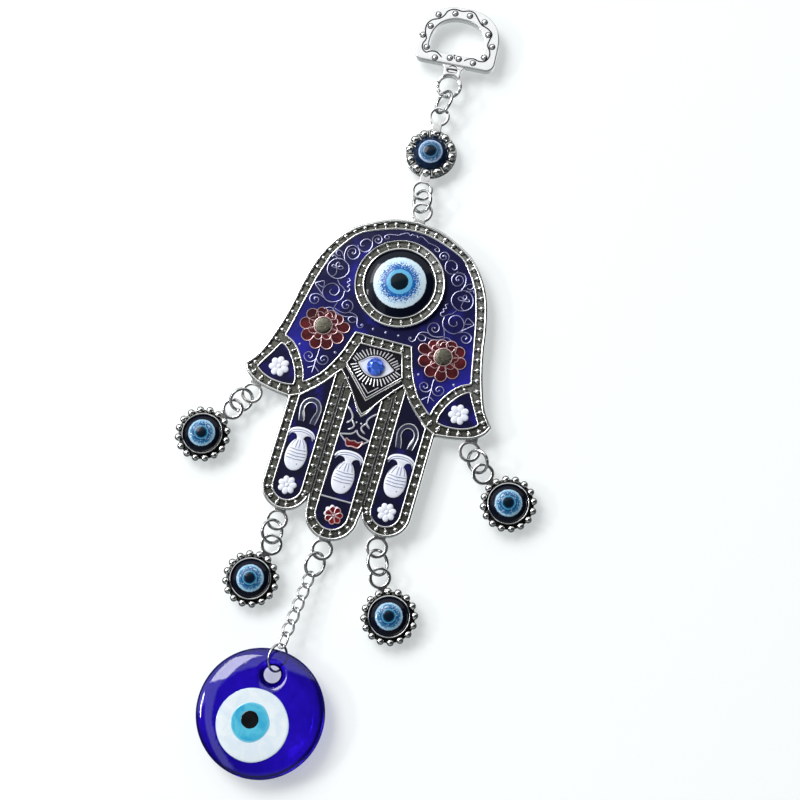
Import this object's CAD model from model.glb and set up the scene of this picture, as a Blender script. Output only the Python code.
"""Evil eye wall ornament, visual model: cast hamsa hand with enamel, cabochons,
charms on jump rings and a glass eye bead, laid out on a pale table.

Design values are in millimetres in the part's own frame: x to the right, z up
along the hand, h the height above the flat back, which is -Y in the world.
"""
import math
import random
import bpy
import bmesh
from mathutils import Matrix, Vector, noise


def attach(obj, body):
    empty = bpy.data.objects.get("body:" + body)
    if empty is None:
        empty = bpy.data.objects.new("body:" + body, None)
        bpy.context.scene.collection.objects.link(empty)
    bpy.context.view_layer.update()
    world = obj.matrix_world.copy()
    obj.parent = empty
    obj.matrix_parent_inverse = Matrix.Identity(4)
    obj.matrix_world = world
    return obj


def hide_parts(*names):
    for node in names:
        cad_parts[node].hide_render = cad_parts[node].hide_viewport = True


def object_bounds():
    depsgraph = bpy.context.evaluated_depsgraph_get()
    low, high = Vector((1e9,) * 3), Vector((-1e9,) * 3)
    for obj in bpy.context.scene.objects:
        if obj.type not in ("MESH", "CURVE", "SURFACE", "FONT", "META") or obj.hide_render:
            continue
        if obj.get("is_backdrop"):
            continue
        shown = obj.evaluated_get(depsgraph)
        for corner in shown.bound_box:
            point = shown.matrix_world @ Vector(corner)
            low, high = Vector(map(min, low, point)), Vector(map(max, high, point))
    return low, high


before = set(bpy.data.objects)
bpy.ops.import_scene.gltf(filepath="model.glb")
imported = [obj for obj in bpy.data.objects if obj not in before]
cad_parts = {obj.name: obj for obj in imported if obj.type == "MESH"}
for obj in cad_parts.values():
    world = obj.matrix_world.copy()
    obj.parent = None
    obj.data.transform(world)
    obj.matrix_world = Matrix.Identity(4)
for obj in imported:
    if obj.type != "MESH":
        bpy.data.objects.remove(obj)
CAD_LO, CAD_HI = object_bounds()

random.seed(11)
MM = 0.001
FRONT = Matrix.Rotation(math.radians(90.0), 4, 'X')     # local (x, z, h) to world
SCALE = Matrix.Scale(MM, 4)

# ------------------------------------------------------------------ dimensions
HAND_T = 3.0
FLOOR_H = 2.10                  # floor of the beaded channel
POCKET_H = 1.2
ENAMEL_H = 2.6
FINGER_X, FINGER_R, FINGER_Z = 15.9, 7.6, -39.4
MID_R, MID_Z = 8.2, -44.2
EYE_X, EYE_Z = 0.0, 31.1
EYE_R_OUT, EYE_R_IN = 14.3, 11.0
EYE_TOP = 4.2
CAB_R, CAB_TOP = 10.7, 6.3
LOOP_IN, LOOP_OUT, LOOP_T, LOOP_H = 2.4, 3.3, 0.9, 1.2
WIRE = 0.45
HANGER_TURN, HANGER_EYE, HANGER_T = 3.0, (-3.3, 99.7), 2.8
HANGER_EYE_IN, HANGER_EYE_OUT, HANGER_EYE_T = 3.1, 4.2, 1.2
CONN_C, CONN_TURN, CONN_R, CONN_LOOP, CONN_RECESS = (-2.75, 76.1), 3.4, 8.3, 12.8, 5.4
CHARM_R, CHARM_LOOP, CHARM_RECESS, CHARM_DOME = 8.4, 12.1, 6.0, 4.3
HAND_LOOPS = {
    "top": (0.0, 56.3), "wing_left": (-35.1, -14.2), "wing_right": (35.1, -14.2),
    "finger_left": (-15.9, -50.2), "finger_right": (15.9, -50.2), "finger_middle": (0.0, -55.3),
}
CHARM_LOOPS = {
    "wing_left": ((-39.3, -20.7), -33.6), "wing_right": ((40.9, -19.8), 55.0),
    "finger_left": ((-15.3, -58.0), -14.3), "finger_right": ((19.4, -58.9), 29.5),
}
RINGS = {
    "hanger": (3.8, 50.0, 1, 1.75, 1.35), "connector": (3.5, 38.0, 1, 0.15, 0.15),
    "wing_left": (3.5, 40.0, -1, 0.4, 0.4), "wing_right": (3.5, 40.0, 1, 0.6, 0.6),
    "finger_left": (3.5, 40.0, -1, 0.5, 0.5), "finger_right": (3.8, 44.0, -1, 0.9, 0.9),
}
RING_R_MID, RING_MID_TILT = 3.55, 48.0
LINK_HALF_LEN, LINK_HALF_WID, LINK_WIRE, LINK_TWIST, LINK_COUNT = 2.475, 1.54, 0.36, 42.0, 6
CHAIN_TOP, CHAIN_PITCH, CHAIN_END, LINK_SEAT = (-1.3, 1.2, -63.75), 3.94, (-3.3, 2.9, -87.2), 1.01
BEAD_RING_R, BEAD_RING_WIRE, BEAD_RING_TURN = 4.1, 0.4, 58.0
BEAD_R, BEAD_C, BEAD_HALF_T, BEAD_EDGE = 19.35, (-3.5, 2.9, -107.3), 2.8, 9.0
HOLE_C, HOLE_R = (-3.3, -95.4), 2.6
WHITE_C, WHITE_R = (-4.5, -111.2), 10.95
BLUE_C, BLUE_R = (-5.3, -110.6), 5.8
PUPIL_C, PUPIL_R = (-5.6, -109.9), 2.65


# ------------------------------------------------------------------ 2D paths
def circle(cx, cz, r, n, start=0.0):
    return [(cx + r * math.cos(math.radians(start) + 2 * math.pi * k / n),
             cz + r * math.sin(math.radians(start) + 2 * math.pi * k / n)) for k in range(n)]


def arc(cx, cz, r, a0, a1, n):
    return [(cx + r * math.cos(math.radians(a0 + (a1 - a0) * k / n)),
             cz + r * math.sin(math.radians(a0 + (a1 - a0) * k / n))) for k in range(n + 1)]


def smooth(points, sub):
    """Catmull-Rom curve through open control points of any dimension."""
    out = []
    n = len(points)
    for i in range(n - 1):
        p0 = points[max(i - 1, 0)]
        p1, p2 = points[i], points[i + 1]
        p3 = points[min(i + 2, n - 1)]
        for k in range(sub):
            t = k / sub
            out.append(tuple(0.5 * (2 * b + (c - a) * t + (2 * a - 5 * b + 4 * c - d) * t * t
                                    + (3 * b - a - 3 * c + d) * t ** 3) for a, b, c, d in zip(p0, p1, p2, p3)))
    out.append(tuple(points[-1]))
    return out


def smooth_loop(points, sub):
    """Catmull-Rom curve through closed control points."""
    n = len(points)
    out = []
    for i in range(n):
        p0, p1, p2, p3 = points[i - 1], points[i], points[(i + 1) % n], points[(i + 2) % n]
        for k in range(sub):
            t = k / sub
            out.append(tuple(0.5 * (2 * b + (c - a) * t + (2 * a - 5 * b + 4 * c - d) * t * t
                                    + (3 * b - a - 3 * c + d) * t ** 3) for a, b, c, d in zip(p0, p1, p2, p3)))
    return out


def flip(path):
    return [(-x, z) for x, z in path]


def flipped(loop):
    return [(-x, z) for x, z in reversed(loop)]


def mirrored(half):
    return list(half) + [(-x, z) for x, z in reversed(half) if abs(x) > 1e-6]


def inset(loop, d):
    """Move every edge of a closed outline inwards by d."""
    n = len(loop)
    area = sum(loop[i][0] * loop[(i + 1) % n][1] - loop[(i + 1) % n][0] * loop[i][1] for i in range(n))
    s = 1.0 if area > 0 else -1.0
    out = []
    for i in range(n):
        p, q, r = Vector(loop[i - 1]), Vector(loop[i]), Vector(loop[(i + 1) % n])
        if (q - p).length < 1e-6 or (r - q).length < 1e-6:
            continue
        e1, e2 = (q - p).normalized(), (r - q).normalized()
        n1 = Vector((-e1.y, e1.x)) * s
        n2 = Vector((-e2.y, e2.x)) * s
        m = n1 + n2
        m = n1 if m.length < 1e-6 else m.normalized()
        k = d / max(m.dot(n1), 0.55)
        out.append((q.x + m.x * k, q.y + m.y * k))
    return out


def spaced(path, pitch, start=0.0, closed=False):
    """Points and directions at an even spacing along a path; the pitch is fitted to the length."""
    pts = [Vector(p) for p in path]
    if closed:
        pts.append(pts[0])
    total = sum((b - a).length for a, b in zip(pts, pts[1:]))
    usable = total - (0.0 if closed else 2 * start)
    count = max(1, round(usable / pitch))
    step = usable / count
    marks = [start + step * k for k in range(count + (0 if closed else 1))]
    out, run, i = [], 0.0, 0
    for m in marks:
        while i < len(pts) - 2 and run + (pts[i + 1] - pts[i]).length < m - 1e-9:
            run += (pts[i + 1] - pts[i]).length
            i += 1
        seg = pts[i + 1] - pts[i]
        f = (m - run) / max(seg.length, 1e-9)
        out.append((pts[i] + seg * f, seg.normalized()))
    return out


# ------------------------------------------------------------------ mesh code
def new_bm():
    return bmesh.new()


def sweep(bm, path, radius, h=None, sides=8, closed=False, flat=1.0, up=None, mat=0, taper=0):
    """Round bar along a path.  2D paths lie at height h; 3D paths give their own points."""
    pts = [Vector((p[0], p[1], (h if len(p) < 3 else p[2]))) for p in path]
    clean = [pts[0]]
    for p in pts[1:]:
        if (p - clean[-1]).length > 0.015:
            clean.append(p)
    if closed and (clean[0] - clean[-1]).length < 0.015:
        clean.pop()
    pts = clean
    n = len(pts)
    if n < 2:
        return
    fixed_up = Vector(up) if up is not None else (Vector((0, 0, 1)) if h is not None else None)
    rings = []
    prev_n = None
    for i, p in enumerate(pts):
        a = pts[i - 1] if (i > 0 or closed) else pts[i]
        b = pts[(i + 1) % n] if (i < n - 1 or closed) else pts[i]
        t = (b - a).normalized()
        if fixed_up is not None:
            side = fixed_up.cross(t)
            side = side.normalized() if side.length > 1e-6 else Vector((1, 0, 0))
            top = t.cross(side).normalized()
        else:
            if prev_n is None:
                ref = Vector((0, 0, 1)) if abs(t.z) < 0.9 else Vector((1, 0, 0))
                side = ref.cross(t).normalized()
            else:
                side = (prev_n - t * prev_n.dot(t)).normalized()
            prev_n = side
            top = t.cross(side).normalized()
        r = radius
        if taper and not closed:
            e = min(i, n - 1 - i)
            if e < taper:
                r = radius * (0.35 + 0.65 * math.sin(0.5 * math.pi * (e + 0.5) / taper))
        ring = []
        for k in range(sides):
            q = 2 * math.pi * (k + 0.5) / sides
            ring.append(bm.verts.new(p + side * (r * math.cos(q)) + top * (r * flat * math.sin(q))))
        rings.append(ring)
    count = n if closed else n - 1
    for i in range(count):
        A, B = rings[i], rings[(i + 1) % n]
        shift = 0
        if closed and i == n - 1 and fixed_up is None:
            best = 1e18
            for s in range(sides):
                d = sum((A[k].co - B[(k + s) % sides].co).length_squared for k in range(sides))
                if d < best:
                    best, shift = d, s
        for k in range(sides):
            f = bm.faces.new((A[k], A[(k + 1) % sides], B[(k + 1 + shift) % sides], B[(k + shift) % sides]))
            f.material_index = mat
    if not closed:
        for ring, rev in ((rings[0], True), (rings[-1], False)):
            c = bm.faces.new(list(reversed(ring)) if rev else ring)
            c.material_index = mat


def dome(bm, cx, cz, base, r, top, seg=12, rings=4, mat=0, power=1.0, rz=None, turn=0.0):
    """Closed half-ball on a base plane; rz gives a second radius for an oval."""
    rz = r if rz is None else rz
    ct, st = math.cos(turn), math.sin(turn)
    loops = []
    for j in range(rings):
        a = 0.5 * math.pi * j / rings
        rr = math.cos(a) ** power
        hh = base + (top - base) * math.sin(a)
        loop = []
        for k in range(seg):
            x, z = r * rr * math.cos(2 * math.pi * k / seg), rz * rr * math.sin(2 * math.pi * k / seg)
            loop.append(bm.verts.new((cx + x * ct - z * st, cz + x * st + z * ct, hh)))
        loops.append(loop)
    tip = bm.verts.new((cx, cz, top))
    for A, B in zip(loops, loops[1:]):
        for k in range(seg):
            bm.faces.new((A[k], A[(k + 1) % seg], B[(k + 1) % seg], B[k])).material_index = mat
    for k in range(seg):
        bm.faces.new((loops[-1][k], loops[-1][(k + 1) % seg], tip)).material_index = mat
    bm.faces.new(list(reversed(loops[0]))).material_index = mat


def ball(bm, c, r, seg=12, rings=8, mat=0, low=None):
    """Ball; anything under the height low is pressed flat onto it."""
    grid = []
    for j in range(1, rings):
        a = math.pi * j / rings
        loop = []
        for k in range(seg):
            h = c[2] + r * math.cos(a)
            if low is not None:
                h = max(h, low)
            loop.append(bm.verts.new((c[0] + r * math.sin(a) * math.cos(2 * math.pi * k / seg),
                                      c[1] + r * math.sin(a) * math.sin(2 * math.pi * k / seg), h)))
        grid.append(loop)
    top = bm.verts.new((c[0], c[1], c[2] + r))
    bot = bm.verts.new((c[0], c[1], max(c[2] - r, low) if low is not None else c[2] - r))
    for k in range(seg):
        bm.faces.new((top, grid[0][k], grid[0][(k + 1) % seg])).material_index = mat
        bm.faces.new((bot, grid[-1][(k + 1) % seg], grid[-1][k])).material_index = mat
    for A, B in zip(grid, grid[1:]):
        for k in range(seg):
            bm.faces.new((A[k], B[k], B[(k + 1) % seg], A[(k + 1) % seg])).material_index = mat


def bar(bm, p, d, half_len, half_wid, base, top, mat=0, round_off=0.3):
    """Short raised bar across a channel: half_len across, half_wid along the direction d."""
    d = Vector(d).normalized()
    q = Vector((-d.y, d.x))
    prof = [(-1.0, base), (-1.0, top - round_off * half_wid * 1.2), (-0.55, top), (0.55, top),
            (1.0, top - round_off * half_wid * 1.2), (1.0, base)]
    ends = []
    for s in (-1.0, 1.0):
        loop = []
        for u, h in prof:
            w = Vector(p) + q * (s * half_len) + d * (u * half_wid)
            loop.append(bm.verts.new((w.x, w.y, h)))
        ends.append(loop)
    n = len(prof)
    for k in range(n):
        bm.faces.new((ends[0][k], ends[0][(k + 1) % n], ends[1][(k + 1) % n], ends[1][k])).material_index = mat
    bm.faces.new(list(reversed(ends[0]))).material_index = mat
    bm.faces.new(ends[1]).material_index = mat


def plate_mesh(loops, back, front, bevel=0.0, res=2):
    """Filled 2D outline between two heights, in local (x, z, h) millimetres."""
    cu = bpy.data.curves.new("plate", 'CURVE')
    cu.dimensions = '2D'
    cu.fill_mode = 'BOTH'
    for lp in loops:
        sp = cu.splines.new('POLY')
        sp.points.add(len(lp) - 1)
        for p, (x, z) in zip(sp.points, lp):
            p.co = (x, z, 0.0, 1.0)
        sp.use_cyclic_u = True
    thick = front - back
    cu.extrude = thick / 2 - bevel
    cu.bevel_depth = bevel
    cu.bevel_resolution = res
    cu.offset = -bevel
    ob = bpy.data.objects.new("plate", cu)
    bpy.context.scene.collection.objects.link(ob)
    dg = bpy.context.evaluated_depsgraph_get()
    me = bpy.data.meshes.new_from_object(ob.evaluated_get(dg))
    bpy.data.objects.remove(ob, do_unlink=True)
    me.transform(Matrix.Translation((0, 0, (front + back) / 2)))
    bm = bmesh.new()
    bm.from_mesh(me)
    bmesh.ops.remove_doubles(bm, verts=bm.verts, dist=1e-4)
    bmesh.ops.recalc_face_normals(bm, faces=bm.faces)
    bm.to_mesh(me)
    bm.free()
    return me


def add_plate(bm, loops, back, front, bevel=0.0, res=2, mat=0, matrix=None):
    me = plate_mesh(loops, back, front, bevel, res)
    if matrix is not None:
        me.transform(matrix)
    first = len(bm.faces)
    bm.from_mesh(me)
    bm.faces.ensure_lookup_table()
    for f in bm.faces[first:]:
        f.material_index = mat
    bpy.data.meshes.remove(me)


def lathe(bm, profile, seg, centre=(0.0, 0.0), mat=0, closed=False):
    """Turned body about the height axis; profile is (radius, height), front pole to back pole."""
    loops = []
    for r, h in profile:
        if r < 1e-6:
            loops.append([bm.verts.new((centre[0], centre[1], h))])
        else:
            loops.append([bm.verts.new((centre[0] + r * math.cos(2 * math.pi * k / seg),
                                        centre[1] + r * math.sin(2 * math.pi * k / seg), h)) for k in range(seg)])
    pairs = list(zip(loops, loops[1:]))
    if closed:
        pairs.append((loops[-1], loops[0]))
    for A, B in pairs:
        for k in range(seg):
            k2 = (k + 1) % seg
            if len(A) == 1 and len(B) > 1:
                bm.faces.new((A[0], B[k], B[k2])).material_index = mat
            elif len(B) == 1 and len(A) > 1:
                bm.faces.new((A[k], B[0], A[k2])).material_index = mat
            elif len(A) > 1:
                bm.faces.new((A[k], B[k], B[k2], A[k2])).material_index = mat


def mesh_from(bm, matrix=None):
    """Local millimetres to a mesh in the world frame."""
    bmesh.ops.recalc_face_normals(bm, faces=bm.faces)
    me = bpy.data.meshes.new("piece")
    bm.to_mesh(me)
    bm.free()
    if matrix is not None:
        me.transform(matrix)
    me.transform(FRONT @ SCALE)
    return me


def combine(me, tool, operation):
    """Exact boolean of two meshes."""
    a = bpy.data.objects.new("a", me)
    b = bpy.data.objects.new("b", tool)
    for ob in (a, b):
        bpy.context.scene.collection.objects.link(ob)
    mod = a.modifiers.new("c", 'BOOLEAN')
    mod.operation = operation
    mod.solver = 'EXACT'
    mod.object = b
    dg = bpy.context.evaluated_depsgraph_get()
    out = bpy.data.meshes.new_from_object(a.evaluated_get(dg))
    bpy.data.objects.remove(a, do_unlink=True)
    bpy.data.objects.remove(b, do_unlink=True)
    return out


def face_weighted(mesh):
    """Give each corner the normal of its larger faces, so flat walls stay flat beside small bevels."""
    ob = bpy.data.objects.new("w", mesh)
    bpy.context.scene.collection.objects.link(ob)
    mod = ob.modifiers.new("w", 'WEIGHTED_NORMAL')
    mod.mode = 'FACE_AREA'
    mod.weight = 50
    mod.keep_sharp = True
    dg = bpy.context.evaluated_depsgraph_get()
    out = bpy.data.meshes.new_from_object(ob.evaluated_get(dg), preserve_all_data_layers=True, depsgraph=dg)
    bpy.data.objects.remove(ob, do_unlink=True)
    return out


def piece(name, mesh, body, materials, replaces=(), angle=40.0, flat_walls=False):
    """Named visible piece on a body."""
    mesh.name = name
    mesh.materials.clear()
    for m in (materials if isinstance(materials, (list, tuple)) else [materials]):
        mesh.materials.append(m)
    mesh.shade_smooth()
    mesh.set_sharp_from_angle(angle=math.radians(angle))
    if flat_walls:
        mesh = face_weighted(mesh)
        mesh.name = name
    ob = bpy.data.objects.new(name, mesh)
    bpy.context.scene.collection.objects.link(ob)
    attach(ob, body)
    if replaces:
        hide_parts(*replaces)
    return ob


# ------------------------------------------------------------------ materials
class Mat:
    """Small helper that builds a procedural node material."""

    def __init__(self, name):
        self.m = bpy.data.materials.new(name)
        self.m.use_nodes = True
        self.nt = self.m.node_tree
        self.nt.nodes.clear()
        self.out = self.nt.nodes.new("ShaderNodeOutputMaterial")
        self.bsdf = self.nt.nodes.new("ShaderNodeBsdfPrincipled")
        self.nt.links.new(self.bsdf.outputs[0], self.out.inputs["Surface"])
        co = self.nt.nodes.new("ShaderNodeTexCoord")
        mp = self.nt.nodes.new("ShaderNodeMapping")
        mp.inputs["Scale"].default_value = (1000.0, 1000.0, 1000.0)
        self.nt.links.new(co.outputs["Object"], mp.inputs["Vector"])
        self.mm = mp.outputs[0]             # position in millimetres

    def put(self, sock, value):
        if hasattr(value, "is_output"):
            self.nt.links.new(value, sock)
        elif isinstance(value, (tuple, list)) and len(value) == 3 and sock.type == 'RGBA':
            sock.default_value = (*value, 1.0)
        else:
            sock.default_value = value

    def set(self, **kw):
        for k, v in kw.items():
            self.put(self.bsdf.inputs[k.replace("_", " ")], v)

    def math(self, op, a, b=None, c=None, clamp=False):
        n = self.nt.nodes.new("ShaderNodeMath")
        n.operation = op
        n.use_clamp = clamp
        for i, v in enumerate((a, b, c)):
            if v is not None:
                self.put(n.inputs[i], v)
        return n.outputs[0]

    def ramp01(self, v, lo, hi):
        """Smooth 0 to 1 as v goes from lo to hi."""
        n = self.nt.nodes.new("ShaderNodeMapRange")
        n.interpolation_type = 'SMOOTHSTEP'
        self.put(n.inputs["Value"], v)
        n.inputs["From Min"].default_value = lo
        n.inputs["From Max"].default_value = hi
        return n.outputs[0]

    def noise(self, scale, detail=2.0, rough=0.5, vec=None, distort=0.0):
        n = self.nt.nodes.new("ShaderNodeTexNoise")
        n.inputs["Scale"].default_value = scale
        n.inputs["Detail"].default_value = detail
        n.inputs["Roughness"].default_value = rough
        n.inputs["Distortion"].default_value = distort
        self.put(n.inputs["Vector"], self.mm if vec is None else vec)
        return n.outputs["Fac"]

    def cells(self, scale, vec=None, feature='F1', out="Color"):
        n = self.nt.nodes.new("ShaderNodeTexVoronoi")
        n.feature = feature
        n.inputs["Scale"].default_value = scale
        self.put(n.inputs["Vector"], self.mm if vec is None else vec)
        return n.outputs[out]

    def mix(self, fac, a, b):
        n = self.nt.nodes.new("ShaderNodeMix")
        n.data_type = 'RGBA'
        n.clamp_factor = True
        self.put(n.inputs[0], fac)
        self.put(n.inputs[6], a)
        self.put(n.inputs[7], b)
        return n.outputs[2]

    def lerp(self, fac, a, b):
        n = self.nt.nodes.new("ShaderNodeMix")
        n.data_type = 'FLOAT'
        n.clamp_factor = True
        self.put(n.inputs[0], fac)
        self.put(n.inputs[2], a)
        self.put(n.inputs[3], b)
        return n.outputs[0]

    def xyz(self, vec=None):
        n = self.nt.nodes.new("ShaderNodeSeparateXYZ")
        self.put(n.inputs[0], self.mm if vec is None else vec)
        return n.outputs

    def bump(self, height, strength, distance_mm, normal=None):
        n = self.nt.nodes.new("ShaderNodeBump")
        n.inputs["Strength"].default_value = strength
        n.inputs["Distance"].default_value = distance_mm * MM
        self.put(n.inputs["Height"], height)
        if normal is not None:
            self.put(n.inputs["Normal"], normal)
        return n.outputs[0]

    def cavity(self, reach_mm, samples=5):
        """0 in the open, towards 1 in a recess."""
        n = self.nt.nodes.new("ShaderNodeAmbientOcclusion")
        n.samples = samples
        n.only_local = True
        n.inputs["Distance"].default_value = reach_mm * MM
        return self.math('SUBTRACT', 1.0, n.outputs["AO"])

    def local(self):
        """Piece's own stored position in millimetres."""
        n = self.nt.nodes.new("ShaderNodeAttribute")
        n.attribute_name = "loc"
        return n.outputs["Vector"]

    def radius(self, vec, cx=0.0, cy=0.0):
        s = self.xyz(vec)
        dx = self.math('SUBTRACT', s[0], cx)
        dy = self.math('SUBTRACT', s[1], cy)
        return self.math('SQRT', self.math('ADD', self.math('MULTIPLY', dx, dx), self.math('MULTIPLY', dy, dy)))


def cast_metal(name, bright=(0.84, 0.84, 0.83), dark=(0.045, 0.045, 0.042), reach=0.9, gain=1.9, low=2.2, high=2.75,
               floor_dark=0.62, rough=0.17, grain=1.0, shelf=None, metal=1.0, worn=None):
    """Antiqued silver casting: bright on the high spots, blackened in the recesses."""
    k = Mat(name)
    cav = k.cavity(reach)
    blotch = k.noise(0.8, 3.0, 0.6)
    fine = k.noise(7.0, 4.0, 0.65)
    pits = k.noise(2.6, 3.0, 0.7)
    h = k.math('MULTIPLY', k.xyz()[1], -1.0)
    geo = k.nt.nodes.new("ShaderNodeNewGeometry")
    front = k.math('MULTIPLY', k.xyz(geo.outputs["Normal"])[1], -1.0)
    lowness = k.math('SUBTRACT', 1.0, k.ramp01(h, low, high))
    if shelf is not None:
        on = k.math('MULTIPLY', k.ramp01(h, shelf[0] - 0.1, shelf[0]), k.math('SUBTRACT', 1.0, k.ramp01(h, shelf[1], shelf[1] + 0.15)))
        lowness = k.math('MAXIMUM', lowness, on)
    facing = k.ramp01(front, 0.35, 0.85)
    lowdark = k.math('MULTIPLY', k.math('MULTIPLY', lowness, facing), floor_dark)
    if worn is not None:
        # the blackening is rubbed off along the outer border on one side of the crown
        sx = k.xyz()
        rub_x = k.ramp01(k.math('ADD', sx[0], k.math('MULTIPLY', sx[2], 0.45)), 16.0, 26.0)
        rub_z = k.ramp01(sx[2], -8.0, 8.0)
        patch = k.lerp(k.noise(1.1, 3.0, 0.6), 0.65, 1.15)
        rub = k.math('MULTIPLY', k.math('MULTIPLY', k.math('MULTIPLY', rub_x, rub_z), patch), worn, clamp=True)
        lowdark = k.math('MULTIPLY', lowdark, k.math('SUBTRACT', 1.0, rub))
    d = k.math('ADD', k.math('MULTIPLY', cav, gain), lowdark)
    d = k.math('ADD', d, k.math('MULTIPLY', k.math('SUBTRACT', blotch, 0.5), 0.5))
    d = k.ramp01(d, 0.12, 1.05)
    col = k.mix(d, bright, dark)
    col = k.mix(k.math('MULTIPLY', k.ramp01(fine, 0.55, 0.8), 0.16), col, (0.26, 0.26, 0.25))
    # crumbs of bare metal left in the blackened floors
    crumbs = k.noise(3.6, 3.0, 0.65)
    col = k.mix(k.math('MULTIPLY', k.math('MULTIPLY', k.ramp01(crumbs, 0.55, 0.66), 0.60), k.math('MULTIPLY', lowness, facing)),
                col, (0.40, 0.39, 0.34))
    soot = k.noise(2.3, 3.0, 0.6)
    col = k.mix(k.math('MULTIPLY', k.math('MULTIPLY', k.ramp01(soot, 0.52, 0.66), 0.62), k.math('MULTIPLY', lowness, facing)),
                col, (0.022, 0.022, 0.018))
    # the unpolished back: dull, sandy and blotched
    back = k.ramp01(k.math('MULTIPLY', front, -1.0), 0.80, 0.98)
    sand = k.noise(3.4, 5.0, 0.72)
    stain = k.noise(0.09, 3.0, 0.5)
    dull = k.mix(k.ramp01(k.math('ADD', k.math('MULTIPLY', stain, 0.45), k.math('MULTIPLY', sand, 0.55)), 0.34, 0.64),
                 (0.44, 0.44, 0.435), (0.66, 0.66, 0.65))
    col = k.mix(k.math('MULTIPLY', back, 0.9), col, dull)
    r = k.lerp(back, k.lerp(d, rough, 0.33), k.lerp(stain, 0.26, 0.44))
    r = k.math('ADD', r, k.math('MULTIPLY', k.math('SUBTRACT', blotch, 0.5), 0.16))
    k.set(Base_Color=col, Metallic=metal, Roughness=r)
    n1 = k.bump(pits, 0.35 * grain, 0.05)
    n2 = k.bump(k.math('MULTIPLY', sand, back), 0.7, 0.07, n1)
    k.set(Normal=k.bump(fine, 0.22 * grain, 0.02, n2))
    return k.m


def polished_metal(name, base=(0.70, 0.705, 0.71), rough=0.11):
    """Bright drawn wire with fine rub marks."""
    k = Mat(name)
    sm = k.noise(1.4, 2.0, 0.5)
    fine = k.noise(9.0, 3.0, 0.7)
    stretch = k.nt.nodes.new("ShaderNodeMapping")
    stretch.inputs["Scale"].default_value = (3.0, 22.0, 3.0)
    k.put(stretch.inputs["Vector"], k.mm)
    rub = k.noise(1.0, 2.0, 0.6, vec=stretch.outputs[0])
    cav = k.cavity(0.5)
    col = k.mix(k.math('MULTIPLY', cav, 0.9), base, (0.10, 0.10, 0.10))
    col = k.mix(k.math('MULTIPLY', k.ramp01(sm, 0.5, 0.8), 0.25), col, (0.55, 0.55, 0.54))
    k.set(Base_Color=col, Metallic=1.0,
          Roughness=k.math('ADD', rough, k.math('MULTIPLY', k.ramp01(rub, 0.45, 0.75), 0.16)),
          Normal=k.bump(k.math('ADD', fine, rub), 0.12, 0.015))
    return k.m


def enamel(name, deep, bright, amount=0.35, scale=0.11, wave=0.12, outer=0.0, rough=0.42, metal=0.0, spec=0.10):
    """Poured translucent enamel: colour pools under a clear wavy skin."""
    k = Mat(name)
    pool = k.noise(scale, 3.0, 0.55, distort=0.4)
    fleck = k.noise(1.7, 3.0, 0.6)
    f = k.ramp01(pool, 0.62 - amount, 0.80)
    if outer:
        s = k.xyz()
        side = k.ramp01(k.math('ABSOLUTE', s[0]), 14.0, 28.0)
        lowz = k.math('SUBTRACT', 1.0, k.ramp01(s[2], 4.0, 30.0))
        f = k.math('ADD', f, k.math('MULTIPLY', k.math('MULTIPLY', side, lowz), outer), clamp=True)
    f = k.math('ADD', f, k.math('MULTIPLY', k.math('SUBTRACT', fleck, 0.5), 0.35), clamp=True)
    col = k.mix(f, deep, bright)
    dust = k.cells(5.0, out="Distance")
    col = k.mix(k.math('MULTIPLY', k.math('SUBTRACT', 1.0, k.ramp01(dust, 0.03, 0.12)), 0.35), col,
                tuple(min(1.0, c * 2.2 + 0.02) for c in bright))
    swell = k.noise(0.35, 2.0, 0.5)
    orange = k.noise(2.2, 2.0, 0.5)
    skin = k.bump(swell, wave, 0.35)
    skin = k.bump(orange, 0.06, 0.04, skin)
    k.set(Base_Color=col, Metallic=metal, Roughness=rough, Coat_Weight=0.55, Coat_Roughness=0.04, Coat_IOR=1.5,
          Specular_IOR_Level=spec, Normal=k.bump(fleck, 0.15, 0.04), Coat_Normal=skin)
    return k.m


def white_enamel(name, tint=(0.76, 0.79, 0.90), light=(0.84, 0.86, 0.93)):
    k = Mat(name)
    a = k.noise(0.7, 3.0, 0.6)
    b = k.noise(5.0, 3.0, 0.6)
    cav = k.cavity(0.6)
    col = k.mix(k.ramp01(a, 0.35, 0.75), tint, light)
    col = k.mix(k.math('MULTIPLY', cav, 1.2, clamp=True), col, (0.20, 0.23, 0.40))
    k.set(Base_Color=col, Roughness=k.lerp(b, 0.18, 0.34), Coat_Weight=0.6, Coat_Roughness=0.08,
          Normal=k.bump(b, 0.18, 0.03))
    return k.m


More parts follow.
